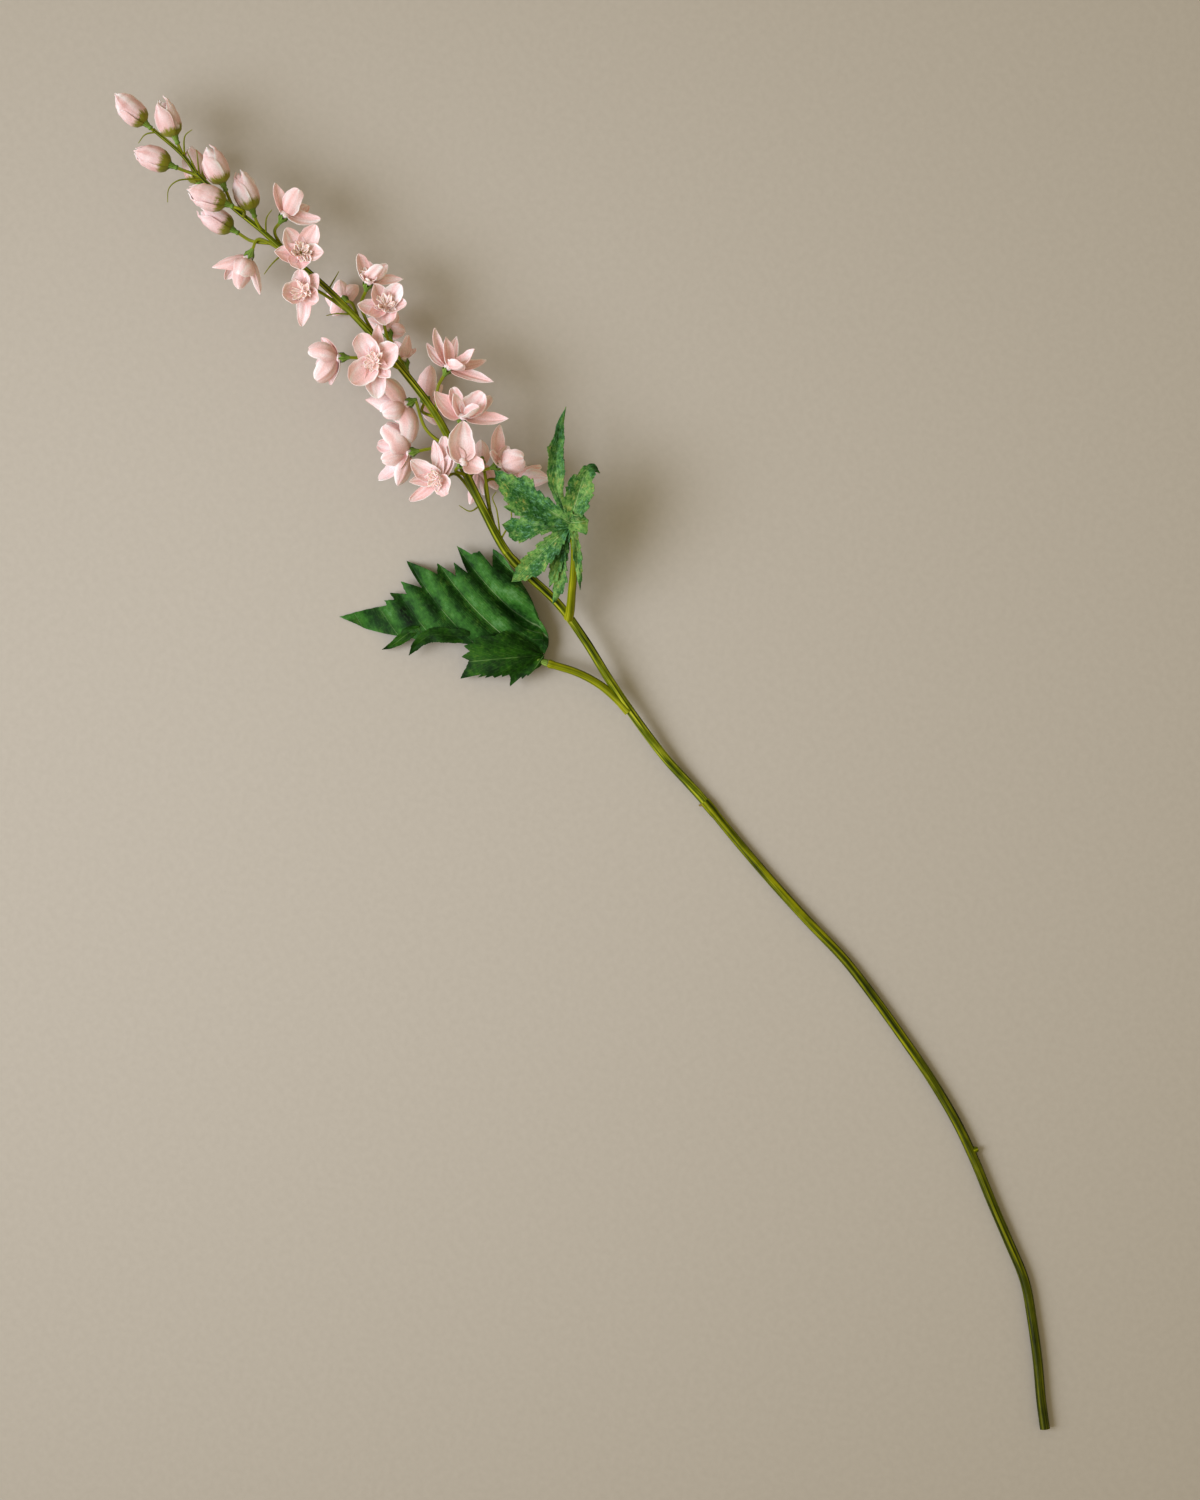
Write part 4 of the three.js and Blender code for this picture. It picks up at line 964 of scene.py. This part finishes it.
def makeCup(name, look, points):
    cup = extrudedRings(name, look["rings"], spike["cupSides"], collarPlastic)
    low = look["length"] - 1
    for corner in cup.data.vertices:
        if corner.co.z > low:
            share = min((corner.co.z - low) / 2, 1)
            angle = math.atan2(corner.co.y, corner.co.x)
            corner.co.z += points * share * (math.cos(spike["cupPoints"] * angle) - 0.2)
    return cup


calyx = makeCup("calyx", spike["calyx"], spike["points"][0])
budCollar = makeCup("budCollar", spike["budCollar"], spike["points"][1])


def spikeRadius(t, angle):
    radius = mixed(stem["neckRadius"], stem["tipRadius"], t ** 1.2)
    return ridged(radius, angle, depth=spike["ridge"])


def makePedicel(entry, axis, cup, look):
    end = Vector(entry["at"]) - axis * look["length"]
    start = spikePath[nearest(spikePath, entry["foot"])]
    middle = end - axis * spike["straight"] * (start - end).length
    path = smoothPath([start, entry.get("via", middle), end], spike["pedicelStep"])

    def thickness(t, angle):
        radius = spike["pedicel"] * (1 + spike["pedicelRoot"] * (1 - t) ** 4)
        return ridged(radius, angle, spike["pedicelRidges"])

    tube = rolledStem("pedicel", path, spike["pedicelSides"], thickness, stalkPlastic)
    return [tube, copyPiece(cup, standing(end, axis))]


def bractRadius(t, angle):
    return mixed(spike["bract"], spike["bractTip"], t ** 1.5)


spikeParts = [rolledStem("spikeStem", spikePath, spike["sides"], spikeRadius, spikePlastic)]
for bud in buds["each"]:
    spikeParts += makePedicel(bud, Vector(bud["to"]).normalized(), budCollar, spike["budCollar"])
for flower in flowers:
    spikeParts += makePedicel(flower, direction(*flower["face"]), calyx, spike["calyx"])
for line in spike["bracts"]:
    spikeParts.append(rolledStem(
        "bract", smoothPath(line, 1), spike["bractSides"], bractRadius, stalkPlastic))
for original in (budCollar, calyx):
    bpy.data.objects.remove(original)
finishPiece(joinPieces(spikeParts, "spikeStem"), "spike_axis")
print("spike made")

lowerLeaf = {
    "base": (-30, 51, 9),
    "thickness": 0.35, "smooth": 40,  # mm, degrees
    "cells": (7, 30),  # between one point of an outline and the next, and from root to rim
    "outline": [  # heading and reach of each tip and notch, and how its ray bows, if it does
        (66, 5), (100, 20, -1), (105, 30, -2), (107, 40, -3), (111, 50, -3), (112.5, 57.5, -3),
        (115.6, 63.5, -2), (120.4, 54.5, -1), (121.8, 65.5, -1), (126, 67), (128.6, 75.5),
        (133, 60), (134.2, 69.5), (138.1, 63.5), (139.3, 76), (142.8, 72),
        (145.5, 90.5), (151.2, 75), (152.7, 87), (156, 81), (158, 90),
        (159.6, 86), (161, 91), (162.4, 89), (166, 101), (169.3, 112.5),
        (170.5, 103), (171.4, 98), (171.9, 92), (172.3, 86, -0.5), (172.5, 79, -1),
        (172.8, 70, -2),
    ],
    "flap": [
        (137, 8), (144, 14), (147, 24, 1), (155, 27, 1), (159, 28, 1), (163.5, 35.5, 1),
        (167, 38.5), (169.5, 37), (173.4, 43.5), (177, 40), (181, 44.5),
        (184, 40.5), (189, 42.5), (195.5, 47), (196.3, 40), (197, 35.5),
        (198.6, 37.6), (199.4, 33), (201.2, 34), (202, 29.5), (204.6, 29.5),
        (205.2, 25), (207.4, 25.6), (209, 21.5), (215, 22), (222.5, 25),
        (223.5, 17), (227.4, 17.6), (228.6, 14), (232, 14.4), (238, 9), (262, 4),
    ],
    "corners": [  # two lobes of the lower side that lie over the rest
        {"rib": [(-70, 61.6, 11), (-78, 61.2, 11.4), (-84.4, 61.8, 11.2), (-90.6, 61.6, 10.4),
                 (-96, 58.9, 9.4), (-99.5, 55.3, 8), (-102.8, 51, 6.4)],
         "left": [2, 3.6, 4, 4.2, 3.8, 3, 2, 0], "right": [2, 4, 3.8, 4.2, 3.6, 3, 2, 0],
         "smooth": True},
        {"rib": [(-97, 66, 8.3), (-102.2, 63.3, 7.6), (-106, 60.6, 6.6), (-110, 57.8, 5.4),
                 (-113.6, 55.8, 4.2), (-117.4, 54.2, 3)],
         "left": [1, 2.6, 3.2, 2.8, 2.2, 1.2, 0], "right": [1, 3, 3.4, 2.6, 2, 1, 0],
         "smooth": True},
    ],
    "midrib": 169.5,  # heading in degrees
    "lowest": 0.1, "lift": 0.4,  # mm above the table
    "pleats": {  # mm; they bend away from their middle, and fade towards the rim
        "heading": 132, "width": 13.5, "shift": 2.5, "middle": 40, "bend": 0.003, "bendTo": 16,
        "height": 1.9, "sharp": 0.25, "reach": 22, "fade": (1.15, 0.85, 95), "waver": (0.25, 11),
        "sink": 1.4,
    },
    "swell": (5, 34), "droop": 9.5,  # mm high over how many mm, and mm lower 100 mm out
    "flapSwell": (7, 22), "flapDroop": 9,
    "flapVein": (160, 50),  # degrees, where the flap's lobes start and how far apart they are
    "teeth": {"fan": (2.9, 0.7), "flap": (2.3, 0.4)},  # mm apart, deep
}


def makeFan(name, points, heightAt, veinAt, material):
    base = Vector(lowerLeaf["base"])
    outline = [(*point, 0)[:3] for point in points]
    cells = len(outline) - 1
    perCell, along = lowerLeaf["cells"]
    pitch, depth = lowerLeaf["teeth"][name]
    rim = [0]
    for (a, near, _), (b, far, _) in zip(outline, outline[1:]):
        turn = math.radians(b - a)
        rim.append(rim[-1] + math.hypot(far - near, (near + far) / 2 * turn))

    def ray(s):
        i = min(int(s * cells), cells - 1)
        share = s * cells - i
        heading, reach, bow = [mixed(a, b, share) for a, b in zip(outline[i], outline[i + 1])]
        return heading, reach, bow, mixed(rim[i], rim[i + 1], share)

    def even(s):  # how far the leaf reaches around a ray, with its teeth smoothed away
        near = [ray(min(max(s + k * 0.7 / cells, 0), 1))[1] for k in range(-3, 4)]
        return sum(near) / len(near)

    def reachAt(s, t):  # rows near the root are even, and those near the rim follow its teeth
        heading, radius, bow, walked = ray(s)
        level = min(even(s), radius * 1.35)
        tooth = depth * ((walked / pitch) % 1 - 0.5) * min(radius / 25, 1)
        return heading, mixed(level * t, radius * t, t * t) + tooth * t ** 12, bow

    def form(s, t):
        t = max(t, 0.02)
        heading, reach, bow = reachAt(s, t)
        angle = math.radians(heading)
        aside = -4 * bow * t * (1 - t)
        return Vector((base.x + reach * math.cos(angle) + aside * math.sin(angle),
                       base.y + reach * math.sin(angle) - aside * math.cos(angle),
                       max(heightAt(heading, reach), lowerLeaf["lowest"]) + lowerLeaf["lift"]))

    def mapOf(s, t):
        heading, reach, bow = reachAt(s, t)
        return veinAt(heading, reach), reach / leafLooks["length"]

    piece = formedSheet(name, cells * perCell, along, form, mapOf)
    piece.data.materials.append(material)
    return piece


def pleatAt(heading, reach):  # counts the pleats across, a half on each vein
    look = lowerLeaf["pleats"]
    turn = math.radians(heading - look["heading"])
    onward = reach * math.cos(turn) - look["middle"]
    bend = look["bend"] * onward * (onward - look["bendTo"])
    return (reach * math.sin(turn) + look["shift"] + bend) / look["width"] + 0.5


def fanHeight(heading, reach):
    look = lowerLeaf["pleats"]
    above = reach * math.sin(math.radians(lowerLeaf["midrib"] - heading))
    turn = 2 * math.pi * (pleatAt(heading, reach) - 0.5)
    pleat = look["height"] * (math.cos(turn) + look["sharp"] * math.cos(2 * turn))
    inward = min(max(above / look["reach"], 0), 1)
    full, fade, rim = look["fade"]
    waver, over = look["waver"]
    pleat *= inward * (full - fade * (reach / rim) ** 2 + waver * math.sin(reach / over))
    swell, span = lowerLeaf["swell"]
    level = lowerLeaf["base"][2] + swell * math.sin(reach / span)
    return level - lowerLeaf["droop"] * (reach / 100) ** 2 - pleat - look["sink"]


def flapVeinAt(heading, reach):
    start, spacing = lowerLeaf["flapVein"]
    return (heading - start) / spacing


def flapHeight(heading, reach):
    fall = max(heading - 150, 0) / 60
    swell, span = lowerLeaf["flapSwell"]
    level = lowerLeaf["base"][2] + swell * math.sin(reach / span)
    return level - lowerLeaf["flapDroop"] * fall * (reach / 32) ** 1.5 + 0.5 * math.sin(heading / 6)


def makeSocket(points, length, endRadius):  # mm, the green foot that a leaf is glued in
    path = smoothPath(points, 1)
    away = (path[0] - path[1]).normalized()
    rings = [(0.3, 2.0), (length * 0.3, 1.9), (length * 0.55, 1.5), (length, endRadius)]
    return placed(extrudedRings("socket", rings, 12, collarPlastic), path[0], away)


lobeLook = {
    "cells": 12, "step": 0.6,  # across a lobe, and mm between rows along it
    "teeth": (6.1, 1.5), "fray": (1.9, 0.4),  # mm apart, deep
    "blunt": 0.3,  # of the depth, for the teeth of a smooth lobe
    "twist": 0.6, "ruffle": (0.25, 2.2),  # mm high; mm high and over how many mm
}


def makeLobe(lobe, material, number, fold):
    path = smoothPath(lobe["rib"], lobeLook["step"])
    steps = len(path) - 1
    length = lobeLook["step"] * steps
    pitch, depth = lobeLook["teeth"]
    frayPitch, frayDepth = lobeLook["fray"]
    ruffle, over = lobeLook["ruffle"]
    blunt = lobeLook["blunt"] if lobe.get("smooth") else 1

    def halfWidth(widths, t):
        place = t * (len(widths) - 1)
        i = min(int(place), len(widths) - 2)
        width = mixed(widths[i], widths[i + 1], place - i)
        place = t * length + number
        tooth = depth * ((place / pitch) % 1 - 0.4) * blunt
        tooth += frayDepth * ((place / frayPitch) % 1 - 0.5)
        return max(width + tooth * min(width / 4, 1) * min(t * 5, 1), 0.05)

    def form(s, t):
        i = round(t * steps)
        way = (path[min(i + 1, steps)] - path[max(i - 1, 0)]).normalized()
        across = Vector((0, 0, 1)).cross(way).normalized()
        up = way.cross(across).normalized()
        side = 2 * s - 1
        reach = halfWidth(lobe["left"] if side > 0 else lobe["right"], t) * side
        lift = fold * abs(reach) + lobeLook["twist"] * math.sin(9 * t + 2 * side + number)
        lift += ruffle * math.sin(t * length / over) * side * side
        return path[i] + across * reach + up * lift

    def mapOf(s, t):
        return s, t * length / leafLooks["length"]

    piece = formedSheet("lobe", lobeLook["cells"], steps, form, mapOf)
    piece.data.materials.append(material)
    return piece


fans = [makeFan("fan", lowerLeaf["outline"], fanHeight, pleatAt, darkLeafCloth),
        makeFan("flap", lowerLeaf["flap"], flapHeight, flapVeinAt, foldedCloth)]
fans += [makeLobe(lobe, foldedCloth, number=3, fold=0) for lobe in lowerLeaf["corners"]]
leaf = joinPieces(fans, "lowerLeaf")
thicken(leaf, lowerLeaf)
leaf = joinPieces([leaf, makeSocket(stalks["lower"], length=6, endRadius=1.2)], "lowerLeaf")
finishPiece(leaf, "lower_leaf")

upperLeaf = {
    "thickness": 0.35, "smooth": 40,  # mm, degrees
    "fold": 0.35,  # how steeply each half of a lobe rises from its rib
    "lobes": [  # each lobe's rib, and its half widths left and right at even steps along it
        {"rib": [(-18, 124, 41), (-22, 136, 44), (-23, 150, 46), (-22, 163, 45), (-21, 172, 43),
                 (-18, 181, 41)],
         "left": [2, 2.4, 3.2, 4.6, 4.8, 4, 5.2, 2.4, 1.8, 0.9, 0],
         "right": [2, 2, 2.4, 3.6, 4.6, 4, 3.2, 3.2, 2.4, 1.3, 0], "smooth": True},
        {"rib": [(-16, 120, 41), (-29, 128, 42), (-42, 137, 38), (-56, 148, 33)],
         "left": [3, 5, 7, 8, 9, 9.6, 10, 9.6, 9, 7.6, 5.4, 3.6, 0],
         "right": [3, 3.6, 4.2, 4.6, 4.8, 5.2, 5.4, 8.4, 7.8, 4.6, 3.4, 2.2, 0]},
        {"rib": [(-18, 120, 40.5), (-36, 126, 37), (-51, 129, 32)],
         "left": [3, 5, 3, 4, 3, 0], "right": [3, 5, 4, 4, 3, 0]},
        {"rib": [(-16, 120, 41), (-31, 119, 37), (-42, 119, 32), (-52, 120, 27)],
         "left": [3, 3.4, 4, 4.8, 6, 8.4, 9, 4.4, 0],
         "right": [3, 4, 4.6, 4.6, 4.6, 4.4, 3.8, 3, 0]},
        {"rib": [(-17, 118, 40), (-27, 108, 35), (-37, 99, 28), (-47, 90, 22)],
         "left": [2, 4, 6, 7, 7, 8, 6, 4, 0], "right": [2, 4, 4, 5, 4, 5, 4, 3, 0]},
        {"rib": [(-17, 117, 40), (-21, 106, 33), (-24, 96, 27), (-27, 87, 23)],
         "left": [2, 3, 4, 4, 3, 3, 0], "right": [2, 3, 4, 4, 3, 2, 0]},
        {"rib": [(-17, 117, 39), (-20.5, 101, 30), (-22, 89, 25), (-25, 78, 21)],
         "left": [2, 2.5, 3, 3, 4, 3, 0], "right": [2, 2, 3, 3, 3, 2, 0]},
        {"rib": [(-14, 117, 42), (-12, 102, 42), (-10.5, 85, 34)],
         "left": [2, 2, 2.5, 2, 1.5, 0], "right": [2, 2, 2, 1.5, 1, 0]},
        {"rib": [(-15, 122, 42), (-12, 133, 46), (-9, 142, 48), (-4, 149, 47), (0, 146, 43)],
         "left": [3, 6, 7, 6, 7, 4, 3, 1, 0], "right": [3, 6, 7, 7, 8, 5, 4, 2, 0]},
        {"rib": [(-16, 120, 41), (-11, 120, 44), (-6, 121, 44)],
         "left": [3, 5, 4, 4, 0], "right": [3, 5, 5, 7, 0]},
    ],
}


lobes = [makeLobe(lobe, paleLeafCloth, number, upperLeaf["fold"])
         for number, lobe in enumerate(upperLeaf["lobes"])]
leaf = joinPieces(lobes, "upperLeaf")
thicken(leaf, upperLeaf)
leaf = joinPieces([leaf, makeSocket(stalks["upper"], length=8, endRadius=1.6)], "upperLeaf")
finishPiece(leaf, "upper_leaf")
print("leaves made")
